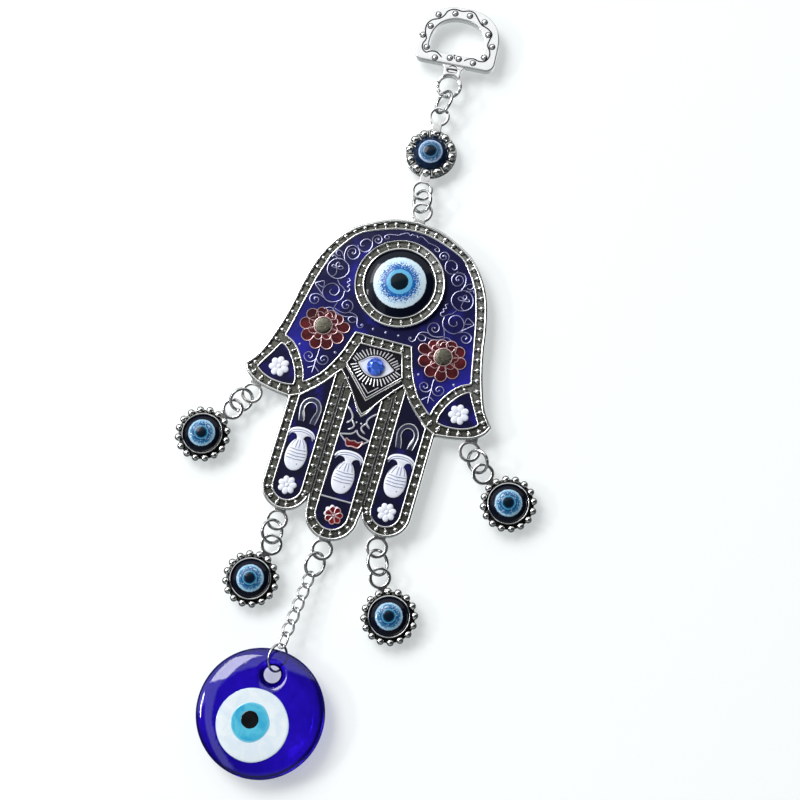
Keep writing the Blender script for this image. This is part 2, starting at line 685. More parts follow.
def iris(name, rings, speckle, coarse=3.4, haze=0.0, jitter=0.18):
    """Printed eye under a clear dome.  rings: (radius, colour) outwards; speckle: (r0, r1, colour)."""
    k = Mat(name)
    loc = k.local()
    r = k.radius(loc)
    rand = k.xyz(k.cells(coarse, vec=loc))
    soft = k.noise(1.1, 3.0, 0.6, vec=loc)
    wob = k.math('MULTIPLY', k.math('SUBTRACT', rand[0], 0.5), jitter)
    rr = k.math('ADD', r, k.math('ADD', wob, k.math('MULTIPLY', k.math('SUBTRACT', soft, 0.5), 0.35)))
    col = None
    prev_r = 0.0
    for radius, colour, blur in rings:
        if col is None:
            col = colour
        else:
            col = k.mix(k.ramp01(rr, prev_r - prev_blur, prev_r + prev_blur), col, colour)
        prev_r, prev_blur = radius, blur
    if speckle:
        r0, r1, tint, edge = speckle
        t = k.ramp01(r, r0, r1)
        hit = k.ramp01(k.math('SUBTRACT', t, rand[1]), -0.06, 0.10)
        inside = k.math('SUBTRACT', 1.0, k.ramp01(rr, edge - 0.12, edge + 0.12))
        started = k.ramp01(r, r0 - 0.2, r0 + 0.1)
        col = k.mix(k.math('MULTIPLY', k.math('MULTIPLY', hit, inside), started), col, tint)
        spark = k.ramp01(rand[2], 0.86, 0.94)
        zone = k.math('MULTIPLY', k.ramp01(r, r0 - 0.3, r0 + 0.3), inside)
        col = k.mix(k.math('MULTIPLY', k.math('MULTIPLY', spark, zone), 0.65), col, (0.80, 0.90, 0.98))
    k.set(Base_Color=col, Roughness=0.30, Coat_Weight=0.42, Coat_Roughness=0.02, Coat_IOR=1.38, Specular_IOR_Level=0.06,
          Normal=k.bump(rand[0], 0.12, 0.03), Coat_Normal=k.bump(k.noise(0.25, 1.0, 0.5), 0.12, 0.2))
    return k.m


M_CAST = cast_metal("cast_silver", dark=(0.078, 0.080, 0.066), gain=1.9, floor_dark=0.95, shelf=(3.2, 3.48), worn=0.72)
M_LASH = cast_metal("cast_silver_lashes", bright=(0.82, 0.82, 0.84), reach=0.5, gain=0.5, low=-1.0, high=-0.5,
                    floor_dark=0.0, rough=0.25, metal=0.35)
M_RAIL = cast_metal("cast_silver_rails", bright=(0.92, 0.92, 0.91), reach=0.5, gain=0.55, low=-1.0, high=-0.5,
                    floor_dark=0.0, rough=0.22)
M_BAND = cast_metal("horseshoe_silver", bright=(0.060, 0.066, 0.12), dark=(0.012, 0.012, 0.035), reach=0.5, gain=0.8,
                    low=-1.0, high=-0.5, floor_dark=0.0, rough=0.30)
M_EDGE = cast_metal("cast_silver_loops", bright=(0.72, 0.72, 0.71), reach=0.8, gain=1.8, low=-1.0, high=-0.5, floor_dark=0.0, rough=0.20)
M_HANGER = cast_metal("hanger_silver", bright=(0.90, 0.90, 0.90), reach=0.55, gain=1.3, low=-1.0, high=-0.5,
                      floor_dark=0.0, rough=0.14, grain=0.7, metal=0.72)
M_CHARM = cast_metal("charm_silver", dark=(0.026, 0.026, 0.028), reach=1.2, gain=2.0, low=1.0, high=1.9,
                     floor_dark=0.70, rough=0.13, grain=0.6)
M_CONN = cast_metal("connector_silver", dark=(0.05, 0.05, 0.052), reach=0.7, gain=1.5, low=0.95, high=1.6,
                    floor_dark=0.10, rough=0.13, grain=0.6)
M_BALL = cast_metal("cast_balls", bright=(0.95, 0.95, 0.95), dark=(0.05, 0.05, 0.05), reach=0.8, gain=0.75, low=-1.0, high=-0.5,
                    floor_dark=0.0, rough=0.11, grain=0.35)
M_WIRE = polished_metal("ring_steel")
M_LINK = polished_metal("link_steel", (0.86, 0.86, 0.865), 0.16)
M_FILI = cast_metal("filigree_silver", bright=(0.40, 0.40, 0.60), dark=(0.05, 0.05, 0.18), reach=0.4, gain=0.6,
                    low=-1.0, high=-0.5, floor_dark=0.0, rough=0.28, metal=0.72)
M_LINE = cast_metal("petal_silver", bright=(0.62, 0.42, 0.44), dark=(0.22, 0.08, 0.08), reach=0.4, gain=0.6,
                    low=-1.0, high=-0.5, floor_dark=0.0, rough=0.26, metal=0.62)
M_RELIEF = cast_metal("finger_relief_silver", bright=(0.66, 0.67, 0.72), dark=(0.05, 0.05, 0.12), reach=0.4, gain=0.6,
                      low=-1.0, high=-0.5, floor_dark=0.0, rough=0.25, metal=0.5)
M_GROOVE = enamel("black_groove", (0.004, 0.004, 0.005), (0.02, 0.02, 0.022), rough=0.45)
M_BLUE = enamel("blue_enamel_pour", (0.0026, 0.0028, 0.040), (0.015, 0.014, 0.28), amount=0.13, outer=0.70)
M_NAVY = enamel("navy_enamel_pour", (0.0026, 0.0024, 0.030), (0.015, 0.010, 0.22), amount=0.16, scale=0.16)
M_FING = enamel("finger_enamel_pour", (0.0020, 0.0020, 0.018), (0.014, 0.010, 0.20), amount=0.12, scale=0.14)
M_BLACK = enamel("black_enamel_pour", (0.0022, 0.0024, 0.006), (0.008, 0.008, 0.022), amount=0.2, scale=0.3)
M_RED = enamel("red_enamel_pour", (0.034, 0.0028, 0.006), (0.125, 0.011, 0.014), amount=0.3, scale=0.35, rough=0.36)
M_SCARLET = enamel("scarlet_enamel_pour", (0.085, 0.0035, 0.006), (0.28, 0.012, 0.016), amount=0.3, scale=0.35, rough=0.36)
M_WHITE = white_enamel("white_enamel_pour")
M_HAMMER = cast_metal("hammered_centre", bright=(0.105, 0.10, 0.078), dark=(0.016, 0.016, 0.012), reach=0.5, gain=1.4,
                      low=-1.0, high=-0.5, floor_dark=0.0, rough=0.30, grain=2.6)
NAVY = (0.0022, 0.0035, 0.011)
M_PALM_EYE = iris("palm_eye_print", [
    (2.80, (0.0022, 0.0085, 0.015), 0.10), (4.05, (0.12, 0.42, 0.68), 0.12), (6.3, (0.010, 0.115, 0.40), 0.35),
    (7.2, (0.16, 0.40, 0.68), 0.4), (8.25, (0.62, 0.77, 0.88), 0.14), (11.0, NAVY, 0.1)],
    (4.5, 7.6, (0.62, 0.78, 0.89), 8.2), coarse=3.9, jitter=0.14)
CHARM_EYE_RINGS = [
    (1.50, (0.0020, 0.0075, 0.018), 0.12), (1.85, (0.006, 0.055, 0.14), 0.12), (2.15, (0.08, 0.33, 0.48), 0.12),
    (2.7, (0.008, 0.065, 0.20), 0.22), (3.60, (0.022, 0.14, 0.31), 0.30), (4.15, (0.34, 0.55, 0.74), 0.10), (9.0, NAVY, 0.1)]
M_CHARM_EYE = iris("charm_eye_print", CHARM_EYE_RINGS, (2.3, 6.2, (0.26, 0.52, 0.70), 4.1), coarse=4.0, jitter=0.12)
M_CONN_EYE = iris("connector_eye_print", [
    (1.70, (0.003, 0.010, 0.022), 0.14), (2.05, (0.012, 0.05, 0.11), 0.12), (2.3, (0.10, 0.26, 0.42), 0.10),
    (2.75, (0.016, 0.07, 0.17), 0.18), (3.40, (0.060, 0.16, 0.32), 0.25), (3.85, (0.42, 0.56, 0.80), 0.10),
    (9.0, (0.0035, 0.015, 0.045), 0.1)], (2.6, 6.0, (0.24, 0.40, 0.62), 3.5), coarse=4.6, jitter=0.10)


# ------------------------------------------------------------------ hand outlines
SUB = 6
palm_side = smooth([(0, 52.4), (8, 51.2), (16, 47.5), (20, 44.7), (24, 40), (27.6, 33), (29.9, 24),
                    (31.2, 16), (33.1, 8), (35.8, 0), (38.0, -3.6), (39.6, -5.5)], SUB)
palm_foot = smooth([(39.6, -5.5), (38.4, -7.9), (36, -10), (33, -11.2), (28, -12.2), (23.5, -12.7)], SUB)[1:]
finger_out = arc(FINGER_X, FINGER_Z, FINGER_R, 0, -171, 30)
middle_out = arc(0, MID_Z, MID_R, 0, -90, 18)
hand_outline = mirrored(palm_side + palm_foot + finger_out + middle_out)

palm_pocket = mirrored(
    smooth([(0, 49), (6, 48.3), (14, 45.4), (18, 42.7), (22.7, 36), (24.3, 31.5), (25.8, 26),
            (27.4, 18), (28.9, 10), (29.7, 6.4)], SUB)
    + smooth([(29.2, 5.9), (27, 4.8), (24.5, 2.4), (22.4, -0.8), (20.9, -4.0), (20.3, -6.4)], SUB)
    + smooth([(19.7, -6.1), (18, -4.6), (16, -2.6), (14.3, 0), (12.8, 2.8), (11.4, 6), (10.3, 9.6),
              (9.3, 12.9)], SUB) + [(0, 12.9)])
tip_pocket = (smooth([(30.4, 3.0), (32.0, 0.0), (33.5, -2.5), (35.2, -5.6)], SUB)
              + smooth([(34.9, -6.2), (33, -7.4), (30, -8.4), (26, -8.7), (23.4, -8.3)], SUB)
              + smooth([(23.3, -7.6), (23.6, -5.8), (24.8, -2.8), (26.4, -0.3), (28.4, 1.9), (30.0, 3.0)], SUB))
pentagon = [(-6.6, 9.5), (6.6, 9.5), (8.7, 2.4), (0, -6.5), (-8.7, 2.4)]
chevron = mirrored([(0, -7.9), (8.9, 1.2), (9.7, 0.2), (7.2, -2.6), (5.2, -5.1), (3.3, -7.7), (1.6, -10.2), (0, -11.8)])
side_pocket = ([(11.3, -2.2), (12, -3.1), (14, -5.6), (16, -7.7), (18, -9.5), (20, -11.3)]
               + arc(15.65, FINGER_Z + 0.1, 4.35, 0, -180, 26))
middle_pocket = mirrored([(0, -13.2), (1.6, -11.6), (3.2, -9.1), (4.85, -6.8)] + arc(0, MID_Z + 0.2, 4.85, 0, -90, 15))

# ------------------------------------------------------------------ hand casting
base = plate_mesh([inset(hand_outline, 0.0)], 0.0, FLOOR_H, 0.22, 1)
pocket_sets = [[palm_pocket, circle(EYE_X, EYE_Z, EYE_R_OUT, 96)], [tip_pocket], [flipped(tip_pocket)], [pentagon],
               [chevron], [side_pocket], [flipped(side_pocket)], [middle_pocket], [circle(EYE_X, EYE_Z, EYE_R_IN, 90)]]
for loops in pocket_sets:
    base = combine(base, plate_mesh(loops, POCKET_H, 6.0), 'DIFFERENCE')

bm = new_bm()
bm.from_mesh(base)
RAIL, RAIL_H = 0.36, 2.66

# rails: rim of the hand, edges of the pockets, and the grooves between the fingers
sweep(bm, inset(hand_outline, 0.42), 0.46, 2.54, sides=12, closed=True, mat=1)
sweep(bm, inset(palm_pocket, -0.30), 0.33, 2.68, sides=10, closed=True, mat=1)
for loop in (tip_pocket, side_pocket):
    sweep(bm, inset(loop, -0.27), 0.30, 2.68, sides=10, closed=True, mat=1)
    sweep(bm, inset(flipped(loop), -0.27), 0.30, 2.68, sides=10, closed=True, mat=1)
sweep(bm, inset(middle_pocket, -0.27), 0.30, 2.68, sides=10, closed=True, mat=1)
sweep(bm, inset(pentagon, -0.18), 0.29, 2.80, sides=10, closed=True, mat=1)
sweep(bm, inset(chevron, -0.18), 0.27, 2.78, sides=10, closed=True, mat=1)
for s in (1, -1):
    side = [(23.4, -12.3), (22.2, -11.7), (20, -10.6), (18, -8.9), (16, -7.1), (14, -5.0), (12, -2.4), (10.7, -0.8), (9.8, 0.3)]
    sweep(bm, smooth([(s * x, z) for x, z in side], 4), 0.32, 2.66, sides=10, mat=1)
    sweep(bm, [(s * 8.62, z) for z in (-3.6, -12, -20, -30, -39)], 0.27, 2.62, sides=8, mat=1)
    sweep(bm, [(s * 7.86, z) for z in (-4.4, -12, -20, -30, -43)], 0.27, 2.62, sides=8, mat=1)


def studs(bm, path, pitch, across, start=0.0, bead=0.82, closed=False, along_len=0.30, base=FLOOR_H - 0.1,
          top=2.62, crown=3.12, skip=()):
    """Beads on cross bars at an even pitch along a channel."""
    for i, (p, d) in enumerate(spaced(path, pitch, start, closed)):
        if i in skip:
            continue
        bar(bm, p, d, across, along_len, base, top, mat=1)
        dome(bm, p.x, p.y, top - 0.42, bead, crown, seg=16, rings=5, mat=1)


border_right = smooth([(0, 50.75), (6, 50.05), (12, 48.15), (16, 46.0), (19, 43.9), (22, 40.6), (24.2, 37), (26.1, 32.4),
                       (27.6, 26.6), (28.8, 20.5), (30.0, 14), (31.3, 8.2), (32.7, 3.6), (34.4, -0.6), (36.7, -4.7)], 6)
foot_right = smooth([(36.7, -7.6), (34.4, -9.0), (31, -10.0), (28, -10.45), (24.6, -10.4), (22.4, -9.7), (20, -8.6),
                     (17.6, -6.7), (15.4, -4.2), (13.6, -1.7), (11.9, 1.1), (10.7, 3.9), (9.6, 6.9), (8.6, 9.6)], 6)
cross_right = smooth([(28.9, 4.1), (26.5, 1.9), (24.6, -0.6), (23.1, -3.4), (22.2, -6.2)], 6)
for s in (1, -1):
    def side(path):
        return [(s * x, z) for x, z in path]
    studs(bm, side(border_right), 3.28, 1.12, start=0.0, skip=(0,) if s < 0 else ())
    studs(bm, side(foot_right), 3.2, 1.05, start=0.4)
    studs(bm, side(cross_right), 2.95, 0.95, start=0.5, bead=0.70)
    studs(bm, side([(21.75, -13.2), (21.75, -39.4)] + arc(FINGER_X, FINGER_Z, 5.95, 0, -170, 24)[1:]), 2.95, 1.0,
          start=0.6, bead=0.78)
    studs(bm, side([(9.9, -5.0), (9.9, -40.6)]), 2.95, 0.95, start=0.7, bead=0.74)
    studs(bm, side([(6.45, -8.4), (6.45, -44.2)] + arc(0, MID_Z, 6.5, 0, -84, 16)[1:]), 2.95, 0.95, start=0.7, bead=0.74)
    studs(bm, side([(7.9, -1.9), (6.3, -5.2)]), 2.6, 0.7, start=0.4, bead=0.45)
studs(bm, [(-6.4, 11.2), (6.4, 11.2)], 3.2, 1.05, start=0.0)
# wing tips and the pointed corner of the channel
for s in (1, -1):
    dome(bm, s * 37.7, -6.1, 2.3, 0.62, 3.0)

# raised ring round the palm eye
lathe(bm, [(EYE_R_OUT, POCKET_H), (EYE_R_IN, POCKET_H), (EYE_R_IN, 3.95), (EYE_R_IN + 0.12, 4.12), (EYE_R_IN + 0.34, 4.2),
           (EYE_R_IN + 0.58, 4.1), (EYE_R_IN + 0.72, 3.6), (EYE_R_IN + 0.80, 3.38), (EYE_R_OUT - 0.80, 3.38),
           (EYE_R_OUT - 0.72, 3.6), (EYE_R_OUT - 0.58, 4.0), (EYE_R_OUT - 0.34, 4.1), (EYE_R_OUT - 0.12, 4.0),
           (EYE_R_OUT, 3.8)], 120, (EYE_X, EYE_Z), closed=True)
studs(bm, circle(EYE_X, EYE_Z, 12.62, 96, 3.0), 3.28, 0.86, closed=True, bead=0.66, along_len=0.26, base=3.3, top=3.70,
      crown=4.18)

# cast loops
NECKS = {"top": (-90, 4.6), "wing_left": (84, 4.8), "wing_right": (96, 4.8),
         "finger_left": (90, 4.4), "finger_right": (90, 4.4), "finger_middle": (90, 4.4)}


def loop_tab(bm, centre, toward, neck_len, neck_half, r_in=LOOP_IN, r_out=LOOP_OUT, thick=LOOP_T, mid=LOOP_H, mat=0, n=40):
    """Cast loop with a short neck; toward is the neck's direction in degrees from +X."""
    cx, cz = centre
    open_deg = math.degrees(math.asin(neck_half / r_out))
    r_out += 0.12
    outer = arc(cx, cz, r_out, toward + open_deg, toward + 360.0 - open_deg, n)
    d = Vector((math.cos(math.radians(toward)), math.sin(math.radians(toward))))
    p = Vector((-d.y, d.x))
    c = Vector((cx, cz))
    a = c + d * neck_len - p * (neck_half * 1.08)
    b = c + d * neck_len + p * (neck_half * 1.08)
    outer += [(a.x, a.y), (b.x, b.y)]
    add_plate(bm, [outer, circle(cx, cz, r_in, n)], mid - thick / 2, mid + thick / 2, 0.2, 2, mat)


# plain back: a low lip along the edge and four flat pin marks
sweep(bm, inset(hand_outline, 1.15), 0.5, 0.0, sides=12, closed=True, flat=0.42)
for x, z in ((-17.0, 30.0), (17.0, 30.0), (0.0, 2.0), (0.0, -38.0)):
    lathe(bm, [(0.0, -0.10), (1.5, -0.10), (1.62, -0.02), (1.62, 0.3), (0.0, 0.3)], 40, (x, z))

casting = mesh_from(bm)
piece("hamsa_casting", casting, "hamsa", [M_CAST, M_RAIL], ["hamsa_frame"], flat_walls=True)

bm = new_bm()
for key, (ang, length) in NECKS.items():
    loop_tab(bm, HAND_LOOPS[key], ang, length, 1.8)
piece("hamsa_loops", mesh_from(bm), "hamsa", M_EDGE, flat_walls=True)

# ------------------------------------------------------------------ enamel fills
FILL_BACK = POCKET_H - 0.05


def fill(name, loops, material, replaces, top=ENAMEL_H, crown=0.0):
    bm = new_bm()
    add_plate(bm, loops, FILL_BACK, top)
    return piece(name, mesh_from(bm), "hamsa", material, replaces)


fill("enamel_palm_pour", [inset(palm_pocket, -0.05), circle(EYE_X, EYE_Z, EYE_R_OUT - 0.05, 96)], M_BLUE,
     ["enamel_palm"])
for s, nm in ((1, "right"), (-1, "left")):
    f = (lambda p: p) if s > 0 else flipped
    fill("enamel_tip_%s_pour" % nm, [inset(f(tip_pocket), -0.05)], M_NAVY, ["enamel_tip_" + nm])
    fill("enamel_finger_%s_pour" % nm, [inset(f(side_pocket), -0.05)], M_FING, ["enamel_finger_" + nm])
fill("enamel_middle_pour", [inset(middle_pocket, -0.05)], M_FING, ["enamel_finger_middle"])
fill("enamel_chevron_pour", [inset(chevron, -0.05)], M_BLACK, ["enamel_chevron"])
fill("enamel_pentagon_pour", [inset(pentagon, -0.05)], M_BLACK, ["enamel_pentagon"], top=2.5)

# ------------------------------------------------------------------ filigree on the palm
FIL = 0.145
scrolls = [
    smooth([(0, 47.7), (0.7, 48.0), (1.3, 47.4), (2.0, 48.0), (2.8, 47.9), (3.8, 47.3), (5.0, 46.6), (6.6, 46.35), (8.0, 46.0),
            (8.9, 45.3), (8.8, 44.6), (8.0, 44.5), (7.5, 45.0), (7.9, 45.5)], 4),
    smooth([(12.3, 42.4), (12.5, 43.6), (11.9, 44.6), (10.7, 45.0), (9.7, 44.2), (9.6, 43.1), (10.5, 42.4), (11.5, 42.8),
            (11.5, 43.6), (10.8, 44.0), (10.3, 43.5)], 4),
    smooth([(12.3, 42.4), (12.0, 41.0), (12.6, 39.3), (14.2, 38.5), (15.8, 39.1), (16.5, 40.2)], 4),
    smooth([(12.4, 42.3), (13.8, 42.9), (15.2, 42.3), (15.8, 41.0), (15.2, 40.1), (14.3, 40.5)], 4),
    smooth([(16.0, 39.3), (17.8, 39.7), (19.3, 38.7), (19.7, 36.9), (19.5, 35.4), (18.9, 34.1)], 4),
    smooth([(16.0, 39.2), (15.1, 37.8), (15.6, 36.0), (17.0, 35.2), (18.4, 35.9), (18.9, 37.3), (18.2, 38.5), (17.0, 38.7),
            (16.4, 37.7), (16.9, 36.9), (17.6, 37.2)], 4),
    smooth([(19.9, 35.6), (20.6, 36.6), (21.9, 37.1), (22.4, 36.0), (21.6, 35.2), (20.7, 35.4)], 4),
    smooth([(20.5, 34.2), (21.5, 34.4), (22.7, 35.1), (23.2, 34.3)], 4),
    smooth([(18.9, 34.1), (17.4, 33.0), (16.8, 31.1), (17.4, 29.4), (18.8, 28.2), (20.2, 27.8), (21.9, 28.1)], 5),
    smooth([(18.9, 34.1), (20.6, 34.5), (22.4, 33.7), (23.5, 32.0), (23.6, 30.2), (22.8, 28.8), (21.6, 28.2), (20.5, 29.0),
            (20.5, 30.4)], 5),
    smooth([(20.5, 30.4), (20.7, 31.4), (20.2, 32.6), (20.9, 33.1), (21.3, 32.2), (20.9, 31.5), (22.0, 32.0), (22.4, 31.4),
            (21.2, 31.1), (20.6, 31.2), (19.4, 31.0), (18.8, 31.7), (19.6, 32.2), (20.4, 31.6)], 4),
    smooth([(16.2, 29.0), (15.5, 28.3), (16.2, 27.5), (15.2, 27.0), (15.7, 26.2), (14.8, 25.6), (15.3, 24.6), (16.4, 25.0),
            (17.2, 25.7), (18.4, 26.3), (19.4, 27.6)], 3),
    smooth([(16.3, 24.6), (16.2, 22.8), (17.0, 21.2), (18.8, 20.2), (20.8, 20.2), (22.4, 21.5), (22.9, 23.5), (22.0, 25.2),
            (20.3, 26.1), (18.6, 25.5), (17.9, 24.0), (18.6, 22.6), (19.9, 22.4), (20.7, 23.2), (20.3, 24.2)], 4),
    smooth([(22.9, 24.2), (23.3, 26.0), (24.5, 25.6), (25.8, 24.6), (24.9, 23.6), (23.7, 22.6), (22.4, 21.4)], 4),
    smooth([(22.9, 24.0), (24.0, 24.2), (25.0, 24.6)], 3),
    smooth([(22.0, 20.8), (23.3, 21.4), (24.8, 21.4), (26.0, 20.6), (26.1, 19.2), (25.1, 18.2), (23.8, 18.4), (23.2, 19.5),
            (23.9, 20.4), (24.8, 20.0), (24.5, 19.3)], 4),
    smooth([(17.6, 18.4), (16.0, 17.8), (14.2, 17.7), (12.9, 18.4), (12.2, 19.8), (12.7, 21.3), (14.2, 22.0), (15.4, 21.3),
            (15.7, 20.0), (14.9, 19.1), (13.8, 19.4), (13.6, 20.3), (14.4, 20.6)], 4),
    smooth([(18.1, 17.8), (17.7, 19.4), (17.2, 20.8), (16.4, 22.2)], 4),
    smooth([(12.9, 18.3), (11.4, 18.2), (10.2, 17.6), (9.7, 16.4), (9.4, 15.0), (8.6, 14.3), (7.7, 14.6), (7.5, 15.4),
            (8.1, 15.8)], 4),
    smooth([(9.9, 16.9), (11.2, 17.3), (12.3, 16.8), (12.5, 15.9), (11.6, 15.3), (10.6, 15.5), (10.1, 16.2)], 4),
    smooth([(12.2, 16.9), (14.2, 16.6), (16.0, 16.9), (17.6, 17.6), (18.6, 18.3), (19.8, 18.1), (21.0, 17.3)], 4),
    smooth([(18.55, 4.6), (18.5, 2.6), (18.65, 0.6), (18.6, -1.2), (18.7, -3.4)], 4),
    smooth([(18.6, 1.4), (19.4, 0.2), (20.9, -0.3), (22.2, 0.5), (22.5, 1.8), (21.5, 2.8), (20.3, 2.4), (20.0, 1.5),
            (20.7, 1.0), (21.2, 1.5)], 4),
    smooth([(18.6, 1.4), (17.8, 0.3), (16.4, -0.1), (15.2, 0.6), (14.9, 1.9), (15.8, 2.8), (16.9, 2.5), (17.3, 1.6),
            (16.6, 1.0), (16.1, 1.5)], 4),
    smooth([(18.6, -1.1), (17.5, -1.9), (16.6, -2.7)], 3),
    smooth([(18.6, -1.1), (19.6, -1.7), (20.4, -2.2)], 3),
]
bm = new_bm()
for s in (1, -1):
    for path in scrolls:
        sweep(bm, [(s * x, z) for x, z in path], FIL, ENAMEL_H + 0.06, sides=7, taper=2)
    for x, z, r in ((4.1, 15.05, 0.48), (13.5, 4.7, 0.50), (24.9, 4.4, 0.48), (8.0, 15.3, 0.35), (21.1, 1.5, 0.30),
                    (16.1, 1.5, 0.30), (14.35, 20.4, 0.30), (24.6, 19.6, 0.32), (10.7, 43.6, 0.34), (17.3, 37.4, 0.32)):
        dome(bm, s * x, z, 2.5, r, 2.5 + r * 0.9, seg=10, rings=3)
dome(bm, 0.0, 15.05, 2.5, 0.52, 2.98, seg=12, rings=3)
piece("palm_filigree", mesh_from(bm), "hamsa", M_FILI)

# ------------------------------------------------------------------ red flowers
PETALS = [(170.5, 8.3, 1.66), (206.0, 7.8, 1.86), (243.5, 7.7, 1.86), (278.0, 7.8, 1.78), (314.5, 7.6, 1.90),
          (354.0, 7.4, 1.90), (32.0, 6.9, 1.84), (69.0, 6.0, 1.80), (110.0, 5.6, 1.75), (142.0, 6.6, 1.60)]
FLOWER = (19.45, 12.0)


def petal(centre, deg, reach, wide, root, s=1, n=14):
    """Petal outline: a narrow root opening into a round end of half-width wide."""
    ca, sa = math.cos(math.radians(deg)), math.sin(math.radians(deg))
    mid_r = reach - wide
    pts = [(root, -0.42 * wide)]
    pts += [(mid_r + wide * math.cos(math.radians(t)), wide * math.sin(math.radians(t)))
            for t in (-104 + 208 * k / n for k in range(n + 1))]
    pts.append((root, 0.42 * wide))
    return [(s * (centre[0] + u_ * ca - v_ * sa), centre[1] + u_ * sa + v_ * ca) for u_, v_ in pts]


for s, nm in ((1, "right"), (-1, "left")):
    red, line, mid = new_bm(), new_bm(), new_bm()
    for deg, reach, half in PETALS:
        lp = petal(FLOWER, deg, reach, half, 3.0, s)
        add_plate(red, [lp if s > 0 else list(reversed(lp))], 2.4, 2.76)
        sweep(line, lp, 0.145, 2.80, sides=7)
    for k in range(8):
        lp = petal(FLOWER, 10 + 45 * k, 4.75, 1.32, 2.6, s, n=12)
        add_plate(red, [lp if s > 0 else list(reversed(lp))], 2.5, 2.92)
        sweep(line, lp[2:-2], 0.125, 2.96, sides=7)
    piece("red_flower_%s_enamel" % nm, mesh_from(red), "hamsa", M_RED)
    sweep(line, circle(s * FLOWER[0], FLOWER[1], 2.85, 40), 0.17, 3.0, sides=7, closed=True)
    piece("red_flower_%s_lines" % nm, mesh_from(line), "hamsa", M_LINE)
    # hammered centre
    rng = random.Random(5 if s > 0 else 9)
    lathe(mid, [(0, 3.16), (1.2, 3.15), (2.0, 3.12), (2.5, 3.04), (2.8, 2.88), (2.8, 2.4), (0, 2.4)], 36,
          (s * FLOWER[0], FLOWER[1]))
    for _k in range(46):
        rr, aa = 2.5 * math.sqrt(rng.random()), rng.uniform(0, 2 * math.pi)
        dome(mid, s * FLOWER[0] + rr * math.cos(aa), FLOWER[1] + rr * math.sin(aa), 2.9, rng.uniform(0.18, 0.34),
             3.27 - 0.04 * rr, seg=7, rings=2)
    piece("red_flower_%s_centre" % nm, mesh_from(mid), "hamsa", M_HAMMER)

# ------------------------------------------------------------------ palm eye
def with_loc(me, centre, turn=0.0):
    """Store each vertex's own (x, z, h) about a centre, in millimetres."""
    at = me.attributes.new("loc", 'FLOAT_VECTOR', 'POINT')
    c, s = math.cos(math.radians(-turn)), math.sin(math.radians(-turn))
    for v, d in zip(me.vertices, at.data):
        x, z = v.co.x / MM - centre[0], v.co.z / MM - centre[1]
        d.vector = (x * c - z * s, x * s + z * c, -v.co.y / MM)
    return me


def dome_profile(r, base, edge, top, n, lip=0.18):
    """Cabochon: spherical cap, small rounded shoulder, straight edge, flat base."""
    h = top - edge
    sphere = (r * r + h * h) / (2 * h)
    pts = []
    for k in range(n + 1):
        rr = (r - lip) * math.sin(0.5 * math.pi * k / n)
        pts.append((rr, top - (sphere - math.sqrt(sphere * sphere - rr * rr))))
    e = pts[-1][1]
    pts += [(r - lip * 0.4, e - lip * 0.35), (r, e - lip * 0.9), (r, base), (0, base)]
    return pts


bm = new_bm()
lathe(bm, dome_profile(EYE_R_IN - 0.06, FILL_BACK, 3.6, CAB_TOP, 20), 96, (EYE_X, EYE_Z))
piece("palm_eye_dome", with_loc(mesh_from(bm), (EYE_X, EYE_Z)), "hamsa", M_PALM_EYE, ["palm_eye_cabochon"])

# ------------------------------------------------------------------ almond eye in the pentagon
k = Mat("pearl_enamel")
loc_s = k.xyz()
vein = k.noise(0.9, 3.0, 0.6)
edge_shade = k.ramp01(k.math('ABSOLUTE', k.math('SUBTRACT', loc_s[2], 3.6)), 1.2, 3.2)
k.set(Base_Color=k.mix(edge_shade, k.mix(vein, (0.62, 0.68, 0.82), (0.82, 0.85, 0.94)), (0.26, 0.27, 0.46)),
      Roughness=0.25, Coat_Weight=0.8, Coat_Roughness=0.06, Normal=k.bump(k.noise(3.0), 0.2, 0.03))
M_PEARL = k.m
top_lid = smooth([(-5.5, 3.7), (-4.3, 4.6), (-2.6, 6.1), (0, 6.9), (2.6, 6.1), (4.4, 4.7), (5.7, 3.9)], 6)
low_lid = smooth([(5.7, 3.9), (4.4, 2.4), (2.4, 0.9), (0, 0.3), (-2.4, 0.8), (-4.2, 2.2), (-5.5, 3.7)], 6)
almond = top_lid[:-1] + low_lid[:-1]
bm = new_bm()
add_plate(bm, [inset(almond, 0.1)], 2.3, 2.72)
piece("almond_eye", mesh_from(bm), "hamsa", M_PEARL)
bm = new_bm()
sweep(bm, almond, 0.20, 2.72, sides=8, closed=True)
# lashes: short raised strokes standing off the lids towards the frame
lid = inset(almond, -0.62)
for i_, (p_, d_) in enumerate(spaced(lid, 0.86, closed=True)):
    nrm = Vector((d_.y, -d_.x))
    rad = Vector((p_.x, p_.y - 3.6)).normalized()
    if nrm.dot(rad) < 0:
        nrm = -nrm
    out_ = (nrm * 0.75 + rad * 0.55).normalized()
    length, end, t = (2.5 if i_ % 2 == 0 else 2.2), None, 0.0
    while t < length:
        q = p_ + out_ * t
        side_gap = (8.45 - abs(q.x)) if q.y <= 2.4 else (6.35 + (9.5 - q.y) * 0.296 - abs(q.x))
        if min(9.15 - q.y, side_gap, (q.y + 5.9) - abs(q.x) * 1.023) < 0.22:
            break
        end = q
        t += 0.1
    if end is not None and t > 0.35:
        sweep(bm, [tuple(p_), tuple(end)], 0.19, 2.58, sides=7)
sweep(bm, [(-2.7, -2.6), (-1.3, -3.9), (0, -5.1), (1.3, -3.9), (2.7, -2.6)], 0.16, 2.58, sides=7)
piece("almond_eye_lines", mesh_from(bm), "hamsa", M_LASH)

